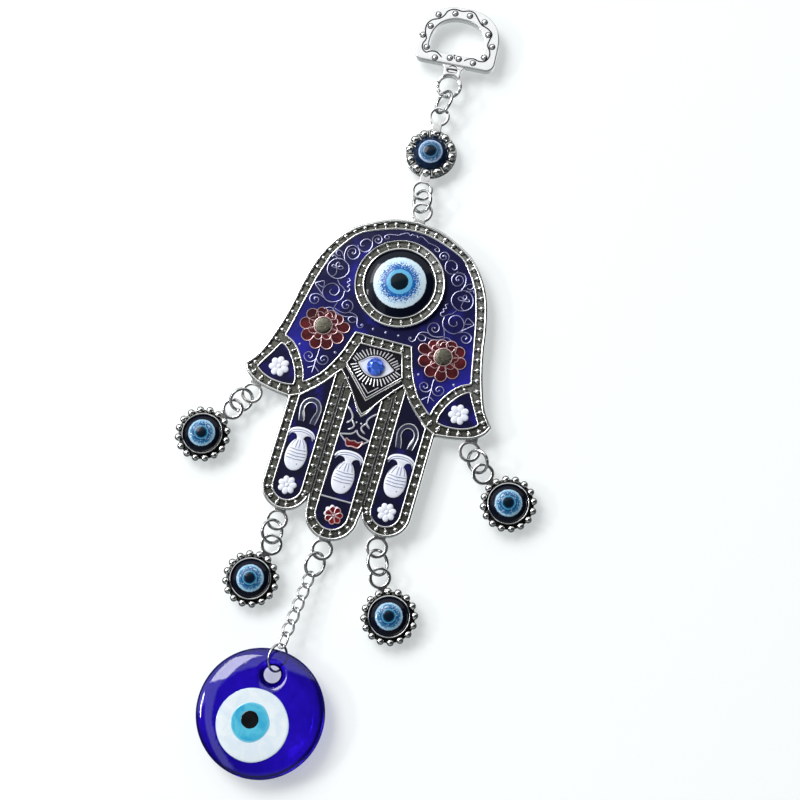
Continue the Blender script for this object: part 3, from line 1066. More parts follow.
# faceted blue stone
bm = new_bm()
N8 = 8
def ring_pts(r, h, off, n=N8):
    return [bm.verts.new((r * math.cos(2 * math.pi * (k + off) / n), 3.5 + r * math.sin(2 * math.pi * (k + off) / n), h))
            for k in range(n)]
table_ = ring_pts(1.35, 4.5, 0.0)
star = ring_pts(1.95, 4.2, 0.5)
girdle = ring_pts(2.7, 3.45, 0.0)
girdle2 = ring_pts(2.72, 3.45, 0.5)
low = [bm.verts.new((2.72 * math.cos(2 * math.pi * k / 16), 3.5 + 2.72 * math.sin(2 * math.pi * k / 16), 2.4)) for k in range(16)]
bm.faces.new(table_)
for k_ in range(N8):
    k2 = (k_ + 1) % N8
    bm.faces.new((table_[k_], star[k_], table_[k2]))
    bm.faces.new((table_[k2], star[k_], girdle[k2]))
    bm.faces.new((table_[k2], girdle[k2], star[k2]))
    bm.faces.new((star[k_], girdle[k_], girdle2[k_]))
    bm.faces.new((star[k_], girdle2[k_], girdle[k2]))
    bm.faces.new((girdle[k_], low[2 * k_], low[2 * k_ + 1], girdle2[k_]))
    bm.faces.new((girdle2[k_], low[2 * k_ + 1], low[(2 * k_ + 2) % 16], girdle[k2]))
bm.faces.new(list(reversed(low)))
bmesh.ops.remove_doubles(bm, verts=bm.verts, dist=1e-5)
k = Mat("blue_rhinestone")
geo = k.nt.nodes.new("ShaderNodeNewGeometry")
nx = k.xyz(geo.outputs["True Normal"])
flash = k.math('FRACT', k.math('ADD', k.math('MULTIPLY', nx[0], 3.7), k.math('MULTIPLY', nx[2], 5.3)))
s_ = k.xyz()
dist = k.math('SQRT', k.math('ADD', k.math('POWER', s_[0], 2.0), k.math('POWER', k.math('SUBTRACT', s_[2], 3.2), 2.0)))
core = k.math('SUBTRACT', 1.0, k.ramp01(dist, 0.5, 2.5))
c1 = k.mix(flash, (0.004, 0.020, 0.24), (0.07, 0.20, 0.95))
c2 = k.mix(k.math('MULTIPLY', core, 0.35), c1, (0.10, 0.26, 1.0))
k.set(Base_Color=c2, Roughness=k.lerp(k.noise(6.0), 0.03, 0.10), Metallic=0.35, Coat_Weight=1.0, Coat_Roughness=0.01,
      Emission_Color=c2, Emission_Strength=0.22)
M_STONE = k.m
piece("blue_stone", mesh_from(bm), "hamsa", M_STONE, ["eye_rhinestone"], angle=5.0)

# ------------------------------------------------------------------ finger and tip reliefs
def fish(bm, lines, cx, top, tail_w=4.5, body_w=3.35, body_len=10.3, s=1):
    """Relief fish, tail up: striped tail fan, narrow waist and a ribbed oval body."""
    sc = tail_w / 4.5
    cz = -3.35 - body_len / 2

    def P(x, z):
        return (cx + s * x, top + z)

    fan = [P(x * sc, z) for x, z in ((-4.55, -2.4), (-3.9, -1.15), (-2.5, -0.32), (-0.8, 0.03), (0.9, 0.05), (2.6, -0.25),
                                     (4.0, -1.1), (4.75, -2.5))]
    under = [P(x * sc, z) for x, z in ((4.35, -2.75), (3.4, -2.3), (2.4, -2.2), (1.6, -2.75), (1.25, -3.7), (1.2, -4.7),
                                       (-0.75, -4.7), (-0.85, -3.7), (-1.15, -2.75), (-2.0, -2.2), (-3.1, -2.25),
                                       (-4.15, -2.65))]
    loop = smooth_loop(fan + under, 3)
    add_plate(bm, [loop if s > 0 else list(reversed(loop))], 2.4, 2.86, 0.08, 1)

    def rise(x, z):
        """Height of the body's pillow at a point of it."""
        f2 = (x / body_w) ** 2 + ((z - cz) / (body_len / 2)) ** 2
        return 2.70 + 0.46 * math.sqrt(max(1.0 - f2, 0.0))

    n, rings_ = 44, 9
    grid = []
    for j in range(rings_):
        f = math.cos(0.5 * math.pi * j / rings_)
        loop_v = []
        for k in range(n):
            a = 2 * math.pi * k / n
            x = body_w * math.copysign(abs(math.cos(a)) ** 0.94, math.cos(a))
            z = body_len / 2 * math.copysign(abs(math.sin(a)) ** 0.94, math.sin(a))
            x *= 1.0 + (0.05 if z < 0 else -0.10) * min(1.0, abs(z) / (body_len / 2))
            w = P(x * f, cz + z * f)
            hh = 2.70 + 0.46 * math.sin(0.5 * math.pi * j / rings_)
            loop_v.append(bm.verts.new((w[0], w[1], hh)))
        grid.append(loop_v)
    base_v = [bm.verts.new((v.co.x, v.co.y, 2.4)) for v in grid[0]]
    c = P(0, cz)
    tip = bm.verts.new((c[0], c[1], 3.16))
    bm.faces.new(base_v)
    for k in range(n):
        k2 = (k + 1) % n
        bm.faces.new((base_v[k], base_v[k2], grid[0][k2], grid[0][k]))
        for A, B in zip(grid, grid[1:]):
            bm.faces.new((A[k], A[k2], B[k2], B[k]))
        bm.faces.new((grid[-1][k], grid[-1][k2], tip))
    # rounded ribs across the belly and cords running down from the waist, on the body's own surface
    for zz, wid in ((-6.9, 2.75), (-7.9, 2.95), (-8.9, 2.95), (-9.9, 2.8)):
        path = [(*P(x, zz - 0.10 * (wid - abs(x))), rise(x, zz) + 0.01) for x in
                (-wid, -0.75 * wid, -0.4 * wid, 0.0, 0.4 * wid, 0.75 * wid, wid)]
        sweep(lines, smooth(path, 3), 0.15, sides=6, up=(0, 0, 1))
    for pts in (((-0.7, -3.9), (-1.35, -4.9), (-1.95, -6.4)), ((-0.05, -3.9), (-0.2, -5.2), (-0.25, -6.6)),
                ((0.55, -3.9), (0.7, -5.2), (0.75, -6.6)), ((1.15, -3.9), (1.75, -4.9), (2.2, -6.4)),
                ((-1.4, -3.95), (-2.3, -5.2), (-2.85, -6.6))):
        sweep(lines, smooth([(*P(x, z), max(rise(x, z), 2.86) + 0.02) for x, z in pts], 4), 0.13, sides=6, up=(0, 0, 1))
    # stripes of the tail fan
    for dz, w in ((-0.68, 0.96), (-1.34, 0.92)):
        sweep(lines, smooth([P(x * w * sc, z + dz) for x, z in ((-4.4, -2.0), (-3.6, -0.95), (-2.2, -0.28), (-0.6, 0.0),
                                                                (0.9, 0.0), (2.4, -0.28), (3.8, -0.95), (4.6, -2.1))], 3),
              0.14, 2.88, sides=6)


def blossom(bm, cx, cz, r, count, turn=0.0, base=2.4, top=2.92):
    """Flat round-petalled relief flower."""
    for k in range(count):
        a = math.radians(turn) + 2 * math.pi * k / count
        dome(bm, cx + 0.56 * r * math.cos(a), cz + 0.56 * r * math.sin(a), base, 0.43 * r, top, seg=18, rings=6,
             rz=0.355 * r, turn=a, power=0.6)
    dome(bm, cx, cz, base, 0.30 * r, top + 0.12, seg=14, rings=4)


white = new_bm()
lines = new_bm()
fish(white, lines, 15.9, -20.9, tail_w=4.2)
fish(white, lines, -15.9, -20.9, tail_w=4.2, s=-1)
fish(white, lines, 0.1, -24.0, tail_w=4.5, body_w=3.4)
blossom(white, 15.9, -39.3, 3.05, 7, 20)
blossom(white, -15.8, -39.3, 3.05, 7, 10)
blossom(white, 28.9, -4.2, 3.35, 7, 90)
blossom(white, -29.1, -4.1, 3.35, 7, 90)
blossom(white, 0.0, -44.0, 2.95, 8, 15, top=2.66)
piece("white_reliefs", mesh_from(white), "hamsa", M_WHITE)
for x, z in ((1.3, -35.3), (17.0, -32.4), (-14.9, -32.4)):
    dome(lines, x, z, 2.7, 0.38, 3.16, seg=12, rings=3)
M_GREYLINE = white_enamel("relief_line", (0.28, 0.31, 0.46), (0.38, 0.40, 0.55))
piece("fish_lines", mesh_from(lines), "hamsa", M_GREYLINE)

silver, band_bm = new_bm(), new_bm()
for s in (1, -1):
    cx, cz = s * 15.6, -14.8

    def shoe(r, legs):
        """Horseshoe line of a given radius, from the left leg over the top to the right leg."""
        return ([(cx - s * r * legs, -19.2), (cx - s * r * (legs + 0.10), -17.4)]
                + [(cx + s * r * math.cos(math.radians(a)), cz + 1.16 * r * math.sin(math.radians(a))) for a in range(196, -17, -12)]
                + [(cx + s * r * (legs + 0.10), -17.2), (cx + s * r * legs, -18.9)])
    outer_line, inner_line = shoe(3.25, 0.80), shoe(2.0, 0.52)
    ring_ = smooth(outer_line, 2) + list(reversed(smooth(inner_line, 2)))
    add_plate(band_bm, [ring_ if s < 0 else list(reversed(ring_))], 2.4, 2.72)
    sweep(silver, smooth(outer_line, 2), 0.17, 2.74, sides=7, taper=3)
    sweep(silver, smooth(inner_line, 2), 0.15, 2.74, sides=7, taper=3)
    sweep(silver, smooth([(cx + s * 2.0, cz - 0.6), (cx + s * 1.85, cz - 1.8), (cx + s * 1.2, cz - 3.1)], 4), 0.30, 2.76,
          sides=8, taper=3)
    for a in (150, 118, 86, 54, 22):
        dome(band_bm, cx + s * 2.62 * math.cos(math.radians(a)), cz + 3.0 * math.sin(math.radians(a)), 2.5, 0.30, 2.86,
             seg=10, rings=3)
piece("horseshoe_bands", mesh_from(band_bm), "hamsa", M_BAND)
# plant on the middle finger
for s in (1, -1):
    sweep(silver, smooth([(s * 4.75, -10.8), (s * 3.7, -11.6), (s * 2.7, -12.8), (s * 2.3, -13.9), (s * 2.7, -14.9),
                          (s * 3.7, -15.8)], 4), 0.33, 2.72, sides=9, taper=3)
    sweep(silver, smooth([(s * 2.4, -14.3), (s * 1.7, -15.2), (s * 1.15, -16.1), (s * 1.6, -17.0), (s * 2.7, -17.7)], 4),
          0.31, 2.72, sides=9, taper=3)
    sweep(silver, smooth([(0, -17.3), (s * 0.6, -18.2), (s * 1.7, -18.9), (s * 4.7, -19.6)], 4), 0.28, 2.72, sides=8)
    sweep(silver, smooth([(s * 4.6, -19.7), (s * 3.5, -20.6), (s * 2.5, -21.4)], 4), 0.26, 2.74, sides=8)
    dome(silver, s * 0.75, -14.9, 2.5, 0.36, 2.86, seg=10, rings=3)
sweep(silver, [(-4.9, -39.5), (4.9, -39.5)], 0.26, 2.72, sides=8)
piece("finger_reliefs", mesh_from(silver), "hamsa", M_RELIEF)

red, line = new_bm(), new_bm()
tulip = smooth_loop([(-2.4, -20.5), (-1.2, -21.05), (0.2, -20.7), (1.5, -21.05), (2.8, -20.4), (2.5, -21.7), (1.7, -22.7),
                     (0.0, -22.55), (-1.6, -22.8), (-2.2, -21.8)], 3)
add_plate(red, [list(reversed(tulip))], 2.4, 2.80)
sweep(line, tulip, 0.24, 2.84, sides=7, closed=True)
for k_ in range(7):
    lp = petal((0.7, -44.6), 90 + 360 / 7 * (k_ + 0.5), 2.75, 0.88, 0.65, 1, n=12)
    add_plate(red, [lp], 2.4, 2.86)
    sweep(line, lp, 0.17, 2.90, sides=7)
dome(line, 0.7, -44.6, 2.5, 0.55, 3.02, seg=12, rings=3)
piece("finger_red_enamel", mesh_from(red), "hamsa", M_SCARLET)
piece("finger_red_lines", mesh_from(line), "hamsa", M_LINE)


# ------------------------------------------------------------------ hanger
def place2d(points, origin, degrees):
    c, s = math.cos(math.radians(degrees)), math.sin(math.radians(degrees))
    return [(origin[0] + x * c - z * s, origin[1] + x * s + z * c) for x, z in points]


def dome_outline(cx, half_w, z_bottom, z_spring, z_top, corner, power, n_corner, n_dome):
    pts = arc(cx + half_w - corner, z_bottom + corner, corner, -90, 0, n_corner)
    h = z_top - z_spring
    for k in range(1, n_dome + 1):
        t = math.pi * k / n_dome
        ct, st = math.cos(t), max(math.sin(t), 0.0)
        pts.append((cx + half_w * math.copysign(abs(ct) ** (2 / power), ct), z_spring + h * st ** (2 / power)))
    pts += arc(cx - half_w + corner, z_bottom + corner, corner, 180, 270, n_corner)
    return pts


bm = new_bm()
outer = dome_outline(-0.2, 13.1, 6.9, 14.0, 27.1, 2.8, 2.45, 10, 60)
opening = dome_outline(-0.6, 8.9, 10.5, 13.6, 22.9, 2.2, 2.3, 8, 50)
add_plate(bm, [place2d(outer, HANGER_EYE, HANGER_TURN), place2d(opening, HANGER_EYE, HANGER_TURN)], 0.0, HANGER_T, 0.40, 4)
neck_outer = arc(0, 0, HANGER_EYE_OUT, 90 + 43, 90 + 360 - 43, 44)
neck_outer += [(2.7, 4.6), (2.75, 5.4), (3.3, 6.4), (4.4, 7.4), (4.6, 8.4), (-4.6, 8.4), (-4.4, 7.4), (-3.3, 6.4), (-2.75, 5.4), (-2.7, 4.6)]
add_plate(bm, [place2d(neck_outer, HANGER_EYE, HANGER_TURN), place2d(circle(0, 0, HANGER_EYE_IN, 40), HANGER_EYE, HANGER_TURN)],
          LOOP_H - HANGER_EYE_T / 2, LOOP_H + HANGER_EYE_T / 2, 0.25, 2)
web = arc(0.0, 0.0, 3.72, 134, 46, 14) + [(2.72, 4.6), (2.78, 5.4), (3.3, 6.4), (4.3, 7.4), (4.6, 8.6), (-4.6, 8.6), (-4.3, 7.4),
                                          (-3.3, 6.4), (-2.78, 5.4), (-2.72, 4.6)]
web_slot = arc(1.15, 5.15, 0.66, -90, 90, 8) + arc(-1.15, 5.0, 0.66, 90, 270, 8)
add_plate(bm, [list(reversed(place2d(web, HANGER_EYE, HANGER_TURN))), place2d(web_slot, HANGER_EYE, HANGER_TURN)], 0.8,
          2.35, 0.20, 3)
DOMES = [(-13.1, 122.5), (-7.9, 124.2), (-3.1, 124.6), (2.1, 123.6), (4.4, 119.6), (6.7, 115.9), (5.2, 111.7), (2.2, 108.9),
         (-2.6, 109.1), (-5.5, 108.8), (-10.2, 107.7), (-13.8, 110.6), (-16.1, 114.4), (-14.5, 118.0)]
for x, z in DOMES:
    dome(bm, x, z, HANGER_T - 0.3, 0.85, HANGER_T + 0.55, seg=16, rings=5)
for k_ in range(9):
    a = math.radians(-190 + 25 * k_)
    q = place2d([(3.65 * math.cos(a), 3.65 * math.sin(a))], HANGER_EYE, HANGER_TURN)[0]
    dome(bm, q[0], q[1], LOOP_H + 0.3, 0.36, LOOP_H + HANGER_EYE_T / 2 + 0.22, seg=10, rings=3)
piece("hanger_casting", mesh_from(bm), "hanger", M_HANGER, ["hanger_frame"], flat_walls=True)
WAVE = [(-8.0, 108.2), (-10.2, 109.6), (-12.2, 109.4), (-13.5, 108.7), (-14.9, 109.6), (-15.3, 111.3), (-14.7, 113.3), (-15.6, 115.4),
        (-15.9, 117.4), (-15.5, 119.0), (-14.3, 120.3), (-12.4, 121.2), (-11.2, 122.6), (-10.4, 124.4), (-8.4, 125.5), (-5.9, 125.4),
        (-3.6, 126.1), (-1.8, 125.7), (-0.2, 124.0), (1.4, 122.4), (3.8, 121.5), (5.5, 120.0), (5.3, 117.9), (5.2, 115.9), (6.3, 114.2),
        (6.7, 112.3), (5.8, 110.4), (3.8, 109.9), (2.0, 110.3), (0.2, 109.7), (-0.8, 108.8)]
bm = new_bm()
sweep(bm, smooth(WAVE, 5), 0.24, HANGER_T - 0.08, sides=8, taper=3)
sweep(bm, smooth([(-3.9, 108.6), (-4.4, 109.9), (-3.9, 109.9)], 4), 0.2, HANGER_T - 0.08, sides=8, taper=2)
for x, z in DOMES:
    sweep(bm, circle(x, z - 0.12, 0.92, 20), 0.17, HANGER_T - 0.02, sides=7, closed=True)
sweep(bm, place2d(arc(1.15, 5.15, 0.50, -90, 90, 8) + arc(-1.15, 5.15, 0.50, 90, 270, 8), HANGER_EYE, HANGER_TURN), 0.17, 1.84,
      sides=7, closed=True)
sweep(bm, place2d(arc(0.0, 5.0, 1.75, 140, 40, 10), HANGER_EYE, HANGER_TURN), 0.14, 2.34, sides=7, taper=3)
for k_ in range(9):
    a = math.radians(-190 + 25 * k_)
    q = place2d([(3.65 * math.cos(a), 3.65 * math.sin(a))], HANGER_EYE, HANGER_TURN)[0]
    sweep(bm, circle(q[0], q[1], 0.40, 14), 0.10, LOOP_H + HANGER_EYE_T / 2 - 0.01, sides=6, closed=True)
piece("hanger_engraving", mesh_from(bm), "hanger", M_GROOVE)


# ------------------------------------------------------------------ connector
bm = new_bm()
cc = CONN_C
lathe(bm, [(0, 0.9), (CONN_R - 0.25, 0.9), (CONN_R - 0.05, 0.78), (CONN_R, 0.6), (CONN_R, 0.3), (CONN_R - 0.1, 0.1),
           (CONN_R - 0.3, 0.0), (0, 0.0)], 72, cc)
for k_ in range(12):
    a = math.radians(90 + CONN_TURN + 30 * k_)
    x, z = cc[0] + 6.75 * math.cos(a), cc[1] + 6.75 * math.sin(a)
    ball(bm, (x, z, 1.45), 1.36, seg=22, rings=14, low=0.5, mat=1)
    m_ = math.radians(15) + a
    sweep(bm, [(cc[0] + 5.6 * math.cos(m_), cc[1] + 5.6 * math.sin(m_)), (cc[0] + 7.9 * math.cos(m_), cc[1] + 7.9 * math.sin(m_))],
          0.42, 0.9, sides=8)
lathe(bm, [(CONN_RECESS + 0.35, 0.8), (CONN_RECESS + 0.32, 1.35), (CONN_RECESS + 0.15, 1.55), (CONN_RECESS - 0.02, 1.5),
           (CONN_RECESS - 0.1, 0.8)], 64, cc, closed=True)


def along(turn, dist, origin):
    return (origin[0] - dist * math.sin(math.radians(turn)), origin[1] + dist * math.cos(math.radians(turn)))


conn_top, conn_bottom = along(CONN_TURN, CONN_LOOP, cc), along(CONN_TURN, -CONN_LOOP, cc)
loop_tab(bm, conn_top, -90 + CONN_TURN, 5.4, 1.5)
loop_tab(bm, conn_bottom, 90 + CONN_TURN, 5.4, 1.5)
piece("connector_casting", mesh_from(bm), "connector", [M_CONN, M_BALL], ["connector_setting"], flat_walls=True)
bm = new_bm()
lathe(bm, dome_profile(CONN_RECESS - 0.08, 0.95, 1.9, 4.3, 14), 64, cc)
piece("connector_dome", with_loc(mesh_from(bm), cc, CONN_TURN), "connector", M_CONN_EYE, ["connector_eye"])

# ------------------------------------------------------------------ charms
def charm_casting():
    bm = new_bm()
    lathe(bm, [(0, 1.0), (6.6, 1.0), (7.3, 0.85), (7.75, 0.65), (7.8, 0.35), (7.6, 0.1), (7.3, 0.0), (0, 0.0)], 64)
    for k in range(16):
        a = 2 * math.pi * (k + 0.5) / 16
        ball(bm, (7.64 * math.cos(a), 7.64 * math.sin(a), 1.18), 1.16, seg=20, rings=14, low=0.0, mat=1)
    lathe(bm, [(6.46, 0.9), (6.44, 2.2), (6.36, 2.46), (6.20, 2.56), (6.05, 2.46), (5.98, 2.2), (5.96, 0.9)], 72, closed=True, mat=1)
    loop_tab(bm, (0, CHARM_LOOP), -90, 4.8, 1.3)
    return bm


for key, (loop_pos, turn) in CHARM_LOOPS.items():
    centre = along(turn, -CHARM_LOOP, loop_pos)
    # turn in the (x, z) plane, then move to the charm's centre
    place = Matrix.Translation((centre[0], centre[1], 0)) @ Matrix.Rotation(math.radians(turn), 4, 'Z')
    piece("charm_%s_casting" % key, mesh_from(charm_casting(), place), "charm_" + key, [M_CHARM, M_BALL],
          ["charm_%s_setting" % key], flat_walls=True)
    bm = new_bm()
    lathe(bm, dome_profile(CHARM_RECESS - 0.04, 1.0, 1.85, CHARM_DOME, 14), 64)
    piece("charm_%s_dome" % key, with_loc(mesh_from(bm, place), centre, turn), "charm_" + key, M_CHARM_EYE,
          ["charm_%s_eye" % key])


# ------------------------------------------------------------------ jump rings
def ring_pose(upper, lower, radius, tilt, side, into_upper, into_lower):
    a = Vector((upper[0], -LOOP_H, upper[1]))
    c = Vector((lower[0], -LOOP_H, lower[1]))
    u = (c - a).normalized()
    v = u.cross(Vector((0, 1, 0))) * side
    p1 = a + u * into_upper
    p2 = c - u * into_lower
    chord = (p2 - p1).length
    off = math.sqrt(max(radius * radius - chord * chord / 4, 0.0))
    w = v * math.cos(math.radians(tilt)) + Vector((0, -1, 0)) * math.sin(math.radians(tilt))
    return (p1 + p2) / 2 + w * off, u, w


def ring_mesh(centre, u, w, radius, wire, gap_deg=200.0, gap=0.07, n=72, sides=14):
    """Open jump ring in world millimetres; the butt joint sits at gap_deg."""
    bm = new_bm()
    w = (w - u * w.dot(u)).normalized()
    half = 0.5 * gap / radius
    pts = []
    for k in range(n + 1):
        a = math.radians(gap_deg) + half + (2 * math.pi - 2 * half) * k / n
        slip = 0.05 * (k / n - 0.5)
        q = centre + u * (radius * math.cos(a)) + w * (radius * math.sin(a)) + u.cross(w) * slip
        pts.append((q.x, q.y, q.z))
    sweep(bm, pts, wire, sides=sides, up=tuple(u.cross(w)))
    bmesh.ops.recalc_face_normals(bm, faces=bm.faces)
    me = bpy.data.meshes.new("ring")
    bm.to_mesh(me)
    bm.free()
    me.transform(SCALE)
    return me


pairs = {"hanger": (HANGER_EYE, conn_top), "connector": (conn_bottom, HAND_LOOPS["top"])}
for key in CHARM_LOOPS:
    pairs[key] = (HAND_LOOPS[key], CHARM_LOOPS[key][0])
GAPS = {"hanger": 80, "connector": 250, "wing_left": 95, "wing_right": 70, "finger_left": 110, "finger_right": 100}
for key, (radius, tilt, side, iu, il) in RINGS.items():
    centre, u, w = ring_pose(pairs[key][0], pairs[key][1], radius, tilt, side, iu, il)
    piece("jump_ring_" + key, ring_mesh(centre, u, w, radius, WIRE + 0.05, GAPS[key]), "ring_" + key, M_WIRE,
          ["ring_" + key])
bottom = Vector((CHAIN_TOP[0], -CHAIN_TOP[1], CHAIN_TOP[2]))
start = Vector((HAND_LOOPS["finger_middle"][0] - 0.2, -LOOP_H, bottom.z + 2 * RING_R_MID * 0.995))
u = (bottom - start).normalized()
v = -u.cross(Vector((0, 1, 0)))
w = v * math.cos(math.radians(RING_MID_TILT)) + Vector((0, -1, 0)) * math.sin(math.radians(RING_MID_TILT))
piece("jump_ring_finger_middle", ring_mesh(bottom - u * RING_R_MID, u, w, RING_R_MID, WIRE + 0.05, 130), "ring_finger_middle", M_WIRE,
      ["ring_finger_middle"])


# ------------------------------------------------------------------ chain
def link_points(top_deg, bottom_deg, n=48):
    pts = []
    norm = math.sin(math.pi / 2 - math.pi / 16) ** 0.85
    for k in range(n):
        t = 2 * math.pi * (k + 0.5) / n
        x = LINK_HALF_WID * math.copysign(abs(math.cos(t)) ** 0.85, math.cos(t))
        z = LINK_HALF_LEN * math.copysign(min(1.0, abs(math.sin(t)) ** 0.85 / norm), math.sin(t))
        f = 0.5 + 0.5 * math.sin(max(-1.0, min(1.0, z / LINK_HALF_LEN)) * math.pi / 2)
        a = math.radians(bottom_deg + (top_deg - bottom_deg) * f)
        pts.append(Vector((x * math.cos(a), x * math.sin(a), z)))
    return pts


chain_end = Vector((CHAIN_END[0], -CHAIN_END[1], CHAIN_END[2]))
chain_dir = (chain_end - bottom).normalized()
first = bottom + chain_dir * (LINK_HALF_LEN - LINK_SEAT)
for k_ in range(LINK_COUNT):
    centre = first + chain_dir * CHAIN_PITCH * k_
    pts = link_points(-LINK_TWIST, -34.0 if k_ == LINK_COUNT - 1 else LINK_TWIST)
    rot = Vector((0, 0, -1)).rotation_difference(chain_dir).to_matrix()
    bm = new_bm()
    sweep(bm, [tuple(centre + rot @ p) for p in pts], LINK_WIRE, sides=12, closed=True)
    bmesh.ops.recalc_face_normals(bm, faces=bm.faces)
    me = bpy.data.meshes.new("link")
    bm.to_mesh(me)
    bm.free()
    me.transform(SCALE)
    piece("twist_link_%d" % (k_ + 1), me, "chain_link_%d" % (k_ + 1), M_LINK, ["chain_link_%d" % (k_ + 1)])
last_wire = first + chain_dir * (CHAIN_PITCH * (LINK_COUNT - 1) + LINK_HALF_LEN)
br_top = last_wire + Vector((0, 0, LINK_SEAT + 0.04))
br_centre = br_top - Vector((0, 0, BEAD_RING_R))
a = math.radians(BEAD_RING_TURN)
br_w = Vector((-math.cos(a), -math.sin(a), 0.0))
piece("jump_ring_bead", ring_mesh(br_centre, Vector((0, 0, -1)), br_w, BEAD_RING_R, BEAD_RING_WIRE, 250), "ring_bead", M_WIRE,
      ["ring_bead"])

# ------------------------------------------------------------------ glass bead
def lens_height(x, z):
    r = math.hypot(x - BEAD_C[0], z - BEAD_C[2])
    q = (r - (BEAD_R - BEAD_EDGE)) / BEAD_EDGE
    if q <= 0:
        return BEAD_HALF_T
    return BEAD_HALF_T * math.sqrt(max(1.0 - q * q, 0.0))


def bead_mesh():
    """Pressed glass disc with a rounded threading hole, as one closed skin."""
    bm = new_bm()
    seg, lips, spans = 128, 9, 34
    fr, wall = 1.72, 0.85
    hc = Vector(HOLE_C)
    bc = Vector((BEAD_C[0], BEAD_C[2]))
    rows = []
    outer_pts, dirs, reach = [], [], []
    for k in range(seg):
        a = 2 * math.pi * k / seg
        d = Vector((math.cos(a), math.sin(a)))
        # distance from the hole's centre to the rim of the bead
        oc = hc - bc
        b_ = oc.dot(d)
        dist = -b_ + math.sqrt(b_ * b_ - (oc.length_squared - BEAD_R * BEAD_R))
        dirs.append(d)
        reach.append(dist)
    fractions = []
    for j in range(lips + 1):
        fractions.append(("lip", fr * j / lips))
    for j in range(1, spans + 1):
        fractions.append(("span", 1.0 - (1.0 - j / spans) ** 2.3))
    levels = []
    for kind, val in fractions:
        ring = []
        for k in range(seg):
            if kind == "lip":
                dist = HOLE_R + val
            else:
                dist = HOLE_R + fr + (reach[k] - HOLE_R - fr) * val
            p = hc + dirs[k] * dist
            base_h = lens_height(p.x, p.y)
            g = dist - HOLE_R
            if g < fr:
                t = g / fr
                base_h = wall + (base_h - wall) * (t + 0.10 * t * (1.0 - t) if t > 0.5 else t * (0.95 + 0.2 * t * t))
            if kind == "span" and val > 0.99999:
                base_h = 0.0
            ring.append((p, base_h))
        levels.append(ring)
    front, back = [], []
    for i, ring in enumerate(levels):
        rim = i == len(levels) - 1
        fv = []
        bv = []
        for p, hh in ring:
            wob = 0.0 if rim else 0.05 * (noise.noise(Vector((p.x * 0.13, p.y * 0.13, 3.1)))) * min(1.0, hh / 1.5)
            fv.append(bm.verts.new((p.x, p.y, BEAD_C[1] + hh + wob)))
        if rim:
            bv = fv
        else:
            for p, hh in ring:
                wob = 0.04 * (noise.noise(Vector((p.x * 0.13, p.y * 0.13, 9.7)))) * min(1.0, hh / 1.5)
                bv.append(bm.verts.new((p.x, p.y, BEAD_C[1] - hh + wob)))
        front.append(fv)
        back.append(bv)
    for S in (front, back):
        for A, B in zip(S, S[1:]):
            for k in range(seg):
                k2 = (k + 1) % seg
                vs = [A[k], B[k], B[k2], A[k2]]
                bm.faces.new(vs if S is front else list(reversed(vs)))
    steps = 4
    inner = [front[0]]
    for j in range(1, steps):
        f = j / steps
        inner.append([bm.verts.new(front[0][k].co.lerp(back[0][k].co, f)) for k in range(seg)])
    inner.append(back[0])
    for A, B in zip(inner, inner[1:]):
        for k in range(seg):
            k2 = (k + 1) % seg
            bm.faces.new((A[k], A[k2], B[k2], B[k]))
    return bm


k = Mat("cobalt_glass_body")
streak = k.noise(0.16, 3.0, 0.55, distort=1.2)
fine_ = k.noise(0.9, 3.0, 0.6)
tone = k.ramp01(streak, 0.35, 0.75)
gcol = k.mix(tone, (0.016, 0.003, 0.50), (0.032, 0.006, 0.70))
gs = k.xyz()
gcol = k.mix(k.math('MULTIPLY', k.math('SUBTRACT', 1.0, k.ramp01(k.math('ADD', gs[2], k.math('MULTIPLY', gs[0], 0.29)), -129.0, -112.0)), 0.75),
             gcol, (0.003, 0.0006, 0.13))
k.set(Base_Color=gcol, Roughness=0.03, IOR=1.48, Transmission_Weight=0.93, Coat_Weight=0.3, Coat_Roughness=0.01,
      Normal=k.bump(k.math('ADD', streak, k.math('MULTIPLY', fine_, 0.15)), 0.25, 0.25))
M_GLASS = k.m
piece("bead_glass", mesh_from(bead_mesh()), "nazar", M_GLASS, ["nazar_glass"], angle=60)


def inlay(name, centre, radius, edge_h, top_h, back, material, replaces, wobble=0.0, seed=0.0, hole=None):
    """Melted glass disc with a soft rounded edge, following the bead's face."""
    bm = new_bm()
    n = 96

    def rim(k, f):
        a = 2 * math.pi * k / n
        wob = 1.0 + wobble * noise.noise(Vector((math.cos(a) * 1.3 + seed, math.sin(a) * 1.3, seed)))
        return centre[0] + radius * f * wob * math.cos(a), centre[1] + radius * f * wob * math.sin(a)

    loops = []
    for f, lift in ((1.0, -0.35), (1.0, -0.12), (0.994, -0.04), (0.98, 0.0), (0.94, 0.012), (0.85, 0.02), (0.65, 0.03), (0.4, 0.035), (0.18, 0.035)):
        loop = []
        for k_ in range(n):
            x, z = rim(k_, f)
            loop.append(bm.verts.new((x, z, BEAD_C[1] + lens_height(x, z) + top_h + lift)))
        loops.append(loop)
    base_loop = []
    for k_ in range(n):
        x, z = rim(k_, 1.0)
        base_loop.append(bm.verts.new((x, z, min(back, BEAD_C[1] + lens_height(x, z) + top_h - 0.6))))
    bm.faces.new(base_loop)
    loops.insert(0, base_loop)
    for A, B in zip(loops, loops[1:]):
        for k_ in range(n):
            k2 = (k_ + 1) % n
            bm.faces.new((A[k_], A[k2], B[k2], B[k_]))
    tip = bm.verts.new((centre[0], centre[1], BEAD_C[1] + BEAD_HALF_T + top_h + 0.035))
    for k_ in range(n):
        bm.faces.new((loops[-1][k_], loops[-1][(k_ + 1) % n], tip))
    return piece(name, mesh_from(bm), "nazar", material, replaces, angle=75)


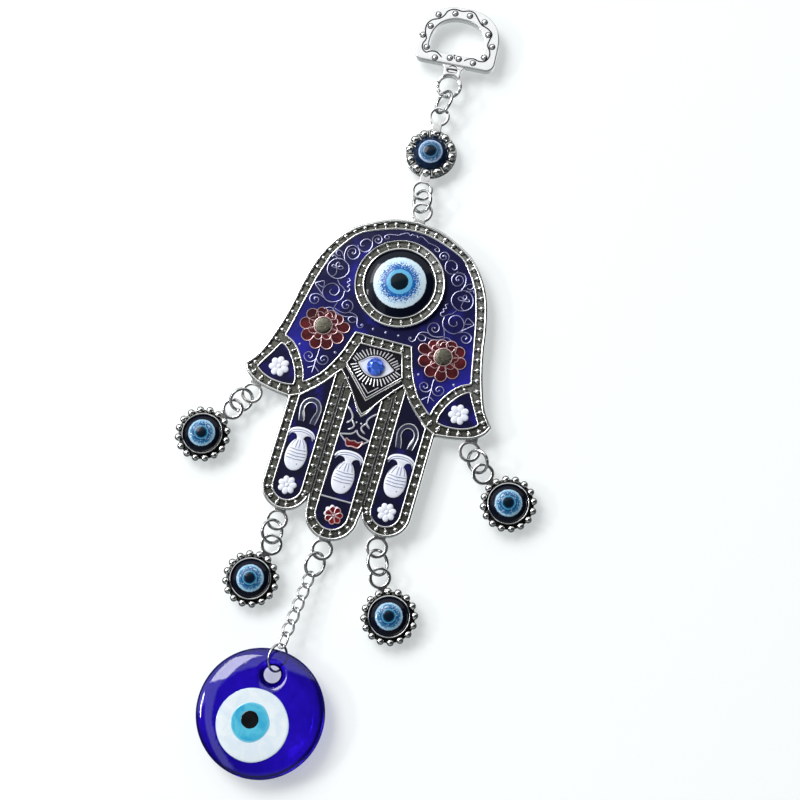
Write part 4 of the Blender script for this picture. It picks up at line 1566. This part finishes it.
def melt_glass(name, a, b, rough=0.10, subsurface=0.0, edge=None, centre=None, radius=None):
    k = Mat(name)
    cloud = k.noise(0.22, 3.0, 0.55, distort=0.8)
    fleck = k.noise(2.4, 2.0, 0.6)
    col = k.mix(k.ramp01(cloud, 0.3, 0.75), a, b)
    if edge is not None:
        s_ = k.xyz()
        r_ = k.math('SQRT', k.math('ADD', k.math('POWER', k.math('SUBTRACT', s_[0], centre[0]), 2.0),
                                   k.math('POWER', k.math('SUBTRACT', s_[2], centre[1]), 2.0)))
        r_ = k.math('ADD', r_, k.math('MULTIPLY', k.math('SUBTRACT', fleck, 0.5), 0.4))
        col = k.mix(k.ramp01(r_, radius - 0.7, radius + 0.1), col, edge)
    k.set(Base_Color=col, Roughness=rough, Coat_Weight=1.0, Coat_Roughness=0.03,
          Coat_Normal=k.bump(cloud, 0.2, 0.3), Normal=k.bump(fleck, 0.08, 0.03))
    if subsurface:
        k.set(Subsurface_Weight=subsurface, Subsurface_Radius=(0.6, 0.9, 1.6), Subsurface_Scale=0.001)
    return k.m


inlay("bead_white", WHITE_C, WHITE_R, 0, 0.03, 4.6,
      melt_glass("white_glass_melt", (0.72, 0.82, 0.91), (0.86, 0.92, 0.95), edge=(0.50, 0.63, 0.86), centre=WHITE_C, radius=WHITE_R),
      ["nazar_white"], 0.012, 2.0)
inlay("bead_blue", BLUE_C, BLUE_R, 0, 0.10, 5.0,
      melt_glass("sky_glass_melt", (0.030, 0.36, 0.62), (0.115, 0.56, 0.74), edge=(0.20, 0.60, 0.80), centre=BLUE_C, radius=BLUE_R),
      ["nazar_blue"], 0.07, 5.0)
inlay("bead_pupil", PUPIL_C, PUPIL_R, 0, 0.17, 5.2,
      melt_glass("black_glass_melt", (0.003, 0.003, 0.004), (0.008, 0.008, 0.010)), ["nazar_pupil"], 0.04, 8.0)

# ------------------------------------------------------------------ table, light and camera
scene = bpy.context.scene
PHOTO_RIGHT = Vector((0.9613, 0.0, 0.2756))
PHOTO_UP = Vector((-0.2756, 0.0, 0.9613))
me = bpy.data.meshes.new("table")
ext, gap = 3.0, 0.0004
me.from_pydata([(-ext, gap, -ext), (ext, gap, -ext), (ext, gap, ext), (-ext, gap, ext)], [], [(0, 1, 2, 3)])
table_ob = bpy.data.objects.new("table_sheet", me)
scene.collection.objects.link(table_ob)
table_ob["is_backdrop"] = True


def probe(body, x, z, h):
    """Empty that rides on a body and marks one of its backmost points."""
    ob = bpy.data.objects.new("probe", None)
    ob.location = (x * MM, -h * MM, z * MM)
    scene.collection.objects.link(ob)
    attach(ob, body)
    return ob


# the sheet stays just behind whatever hangs furthest back
marks = [probe("hamsa", x, z, 0.0) for x, z in ((0, 52), (39, -6), (-39, -6), (0, -52), (24, -40), (-24, -40))]
marks += [probe("hanger", x, z, 0.0) for x, z in ((-3, 126.5), (9.5, 110), (-16.5, 110))]
marks += [probe("connector", cc[0] + x, cc[1] + z, 0.0) for x, z in ((0, 16), (0, -16), (8.3, 0), (-8.3, 0))]
for key, (loop_pos, turn) in CHARM_LOOPS.items():
    mid_ = along(turn, -CHARM_LOOP, loop_pos)
    for dist in (-8.6, 0.0, 8.6):
        q = along(turn, dist, mid_)
        marks.append(probe("charm_" + key, q[0], q[1], 0.0))
    for sgn in (-1, 1):
        q = along(turn + 90, 8.6 * sgn, mid_)
        marks.append(probe("charm_" + key, q[0], q[1], 0.0))
for k_ in range(12):
    a = 2 * math.pi * k_ / 12
    marks.append(probe("nazar", BEAD_C[0] + 19.2 * math.cos(a), BEAD_C[2] + 19.2 * math.sin(a), BEAD_C[1]))
marks += [probe("nazar", BEAD_C[0] + x, BEAD_C[2] + z, BEAD_C[1] - 3.0) for x, z in ((0, 0), (10, 0), (-10, 0), (0, 6), (0, -10))]
for k_ in range(LINK_COUNT):
    q = first + chain_dir * CHAIN_PITCH * k_
    marks.append(probe("chain_link_%d" % (k_ + 1), q.x, q.z, -(q.y + 1.9)))
q = br_centre - br_w * (BEAD_RING_R + 0.5)
marks.append(probe("ring_bead", q.x, q.z, -q.y))
q = br_centre - Vector((0, 0, 1)) * (BEAD_RING_R + 0.5)
marks.append(probe("ring_bead", q.x, q.z, -q.y))
curve = table_ob.driver_add("location", 1)
curve.driver.type = 'MAX'
for i_, ob in enumerate([None] + marks):
    var = curve.driver.variables.new()
    var.name = "y%d" % i_
    var.type = 'TRANSFORMS'
    if ob is None:
        # the deepest point at rest
        ob = bpy.data.objects.new("probe_rest", None)
        ob.location = (0.0, max(CAD_HI.y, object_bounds()[1].y), 0.0)
        scene.collection.objects.link(ob)
    var.targets[0].id = ob
    var.targets[0].transform_type = 'LOC_Y'
    var.targets[0].transform_space = 'WORLD_SPACE'
tm = bpy.data.materials.new("table_sheet")
tm.use_nodes = True
nt = tm.node_tree
nt.nodes.clear()
out = nt.nodes.new("ShaderNodeOutputMaterial")
mixs = nt.nodes.new("ShaderNodeMixShader")
clear = nt.nodes.new("ShaderNodeBsdfTransparent")
diff = nt.nodes.new("ShaderNodeBsdfDiffuse")
diff.inputs["Color"].default_value = (0.54, 0.555, 0.56, 1)
glow = nt.nodes.new("ShaderNodeEmission")
glow.inputs["Color"].default_value = (0.92, 0.955, 0.96, 1)
glow.inputs["Strength"].default_value = 0.46
paper = nt.nodes.new("ShaderNodeAddShader")
nt.links.new(diff.outputs[0], paper.inputs[0])
nt.links.new(glow.outputs[0], paper.inputs[1])
geo = nt.nodes.new("ShaderNodeNewGeometry")
lp = nt.nodes.new("ShaderNodeLightPath")
inv = nt.nodes.new("ShaderNodeMath")
inv.operation = 'SUBTRACT'
inv.inputs[0].default_value = 1.0
nt.links.new(geo.outputs["Backfacing"], inv.inputs[1])
both = nt.nodes.new("ShaderNodeMath")
both.operation = 'MULTIPLY'
nt.links.new(inv.outputs[0], both.inputs[0])
nt.links.new(lp.outputs["Is Camera Ray"], both.inputs[1])
nt.links.new(both.outputs[0], mixs.inputs[0])
nt.links.new(clear.outputs[0], mixs.inputs[1])
nt.links.new(paper.outputs[0], mixs.inputs[2])
nt.links.new(mixs.outputs[0], out.inputs["Surface"])
me.materials.append(tm)

world = bpy.data.worlds.new("studio")
scene.world = world
world.use_nodes = True
nt = world.node_tree
nt.nodes.clear()
wout = nt.nodes.new("ShaderNodeOutputWorld")
bg = nt.nodes.new("ShaderNodeBackground")
nt.links.new(bg.outputs[0], wout.inputs["Surface"])
tc = nt.nodes.new("ShaderNodeTexCoord")


def wmath(op, a, b=None, clamp=False):
    n = nt.nodes.new("ShaderNodeMath")
    n.operation = op
    n.use_clamp = clamp
    for i, v in enumerate((a, b)):
        if v is None:
            continue
        if hasattr(v, "is_output"):
            nt.links.new(v, n.inputs[i])
        else:
            n.inputs[i].default_value = v
    return n.outputs[0]


def wdot(vec):
    n = nt.nodes.new("ShaderNodeVectorMath")
    n.operation = 'DOT_PRODUCT'
    nt.links.new(tc.outputs["Generated"], n.inputs[0])
    n.inputs[1].default_value = vec
    return n.outputs["Value"]


def wstep(v, lo, hi):
    n = nt.nodes.new("ShaderNodeMapRange")
    n.interpolation_type = 'SMOOTHSTEP'
    nt.links.new(v, n.inputs["Value"])
    n.inputs["From Min"].default_value = lo
    n.inputs["From Max"].default_value = hi
    return n.outputs[0]


def wmix(fac, a, b):
    n = nt.nodes.new("ShaderNodeMix")
    n.data_type = 'RGBA'
    for i, v in ((0, fac), (6, a), (7, b)):
        if hasattr(v, "is_output"):
            nt.links.new(v, n.inputs[i])
        elif isinstance(v, tuple):
            n.inputs[i].default_value = (*v, 1.0)
        else:
            n.inputs[i].default_value = v
    return n.outputs[2]


e_up = wdot(tuple(PHOTO_UP))
e_rt = wdot(tuple(PHOTO_RIGHT))
e_fr = wdot((0.0, -1.0, 0.0))
upper = wstep(wmath('ADD', e_up, wmath('MULTIPLY', e_rt, -0.30)), 0.300, 0.385)
lower = wstep(wmath('MULTIPLY', e_up, -1.0), 0.55, 0.85)
horizon = wmath('SUBTRACT', 1.0, wstep(e_fr, 0.02, 0.20))
# mirror-like rays only find the bright zone right behind, so round wire and rims keep dark outlines
lpw = nt.nodes.new("ShaderNodeLightPath")
wide = wmath('SUBTRACT', 1.0, wstep(e_fr, -0.75, -0.25))
narrow = wmath('SUBTRACT', 1.0, wstep(e_fr, -0.90, -0.80))
glossy = lpw.outputs["Is Glossy Ray"]
behind = wmath('ADD', wmath('MULTIPLY', narrow, glossy), wmath('MULTIPLY', wide, wmath('SUBTRACT', 1.0, glossy)))
studio = wmix(upper, (0.040, 0.042, 0.045), (1.02, 1.05, 1.06))
studio = wmix(lower, studio, (0.30, 0.33, 0.34))
strip = wmath('MULTIPLY', wmath('MULTIPLY', wstep(e_rt, -0.66, -0.60), wmath('SUBTRACT', 1.0, wstep(e_rt, -0.46, -0.40))),
              wstep(e_up, -0.75, -0.60))
studio = wmix(strip, studio, (0.95, 0.98, 1.0))
studio = wmix(horizon, studio, (0.075, 0.085, 0.085))
rear = wmix(wstep(wmath('ADD', e_up, wmath('MULTIPLY', e_rt, 0.35)), -0.35, 0.30), (0.42, 0.45, 0.46), (0.98, 1.03, 1.05))
rear = wmix(glossy, (0.92, 0.98, 1.00), rear)
studio = wmix(behind, studio, rear)
final = wmix(lpw.outputs["Is Camera Ray"], studio, (0.93, 0.96, 0.97))
nt.links.new(final, bg.inputs["Color"])
bg.inputs["Strength"].default_value = 1.0


def softbox(name, where, aim, size, power, tint=(1, 1, 1), size_y=None):
    li = bpy.data.lights.new(name, 'AREA')
    li.shape = 'RECTANGLE'
    li.size = size
    li.size_y = size_y or size
    li.energy = power
    li.color = tint
    ob = bpy.data.objects.new(name, li)
    ob.location = where
    ob.rotation_mode = 'QUATERNION'
    ob.rotation_quaternion = (Vector(aim) - Vector(where)).to_track_quat('-Z', 'Y')
    scene.collection.objects.link(ob)
    return ob


aim = Vector((0.0, 0.0, 0.0))
key_dir = (PHOTO_RIGHT * -0.55 + PHOTO_UP * 0.60 + Vector((0, -1, 0)) * 0.85).normalized()
softbox("key", aim + key_dir * 1.9, aim, 1.0, 29.0, (1.0, 0.995, 0.985))
fill_dir = (PHOTO_RIGHT * -0.9 + PHOTO_UP * 0.05 + Vector((0, -1, 0)) * 0.60).normalized()
softbox("fill", aim + fill_dir * 1.1, aim, 0.10, 3.2, (0.97, 0.99, 1.0), 0.30)

cam_data = bpy.data.cameras.new("camera")
cam_data.sensor_width = 36.0
cam_data.lens = 75.48
cam_data.clip_start, cam_data.clip_end = 0.01, 10.0
cam = bpy.data.objects.new("camera", cam_data)
scene.collection.objects.link(cam)
where, look = Vector((67.63, -505.98, -109.13)) * MM, Vector((9.9, 0.0, -4.0)) * MM
fwd = (look - where).normalized()
right = fwd.cross(PHOTO_UP).normalized()
up = right.cross(fwd).normalized()
cam.matrix_world = Matrix(((right.x, up.x, -fwd.x, where.x), (right.y, up.y, -fwd.y, where.y),
                           (right.z, up.z, -fwd.z, where.z), (0, 0, 0, 1)))
scene.camera = cam
scene.view_settings.view_transform = 'Standard'
scene.view_settings.look = 'None'
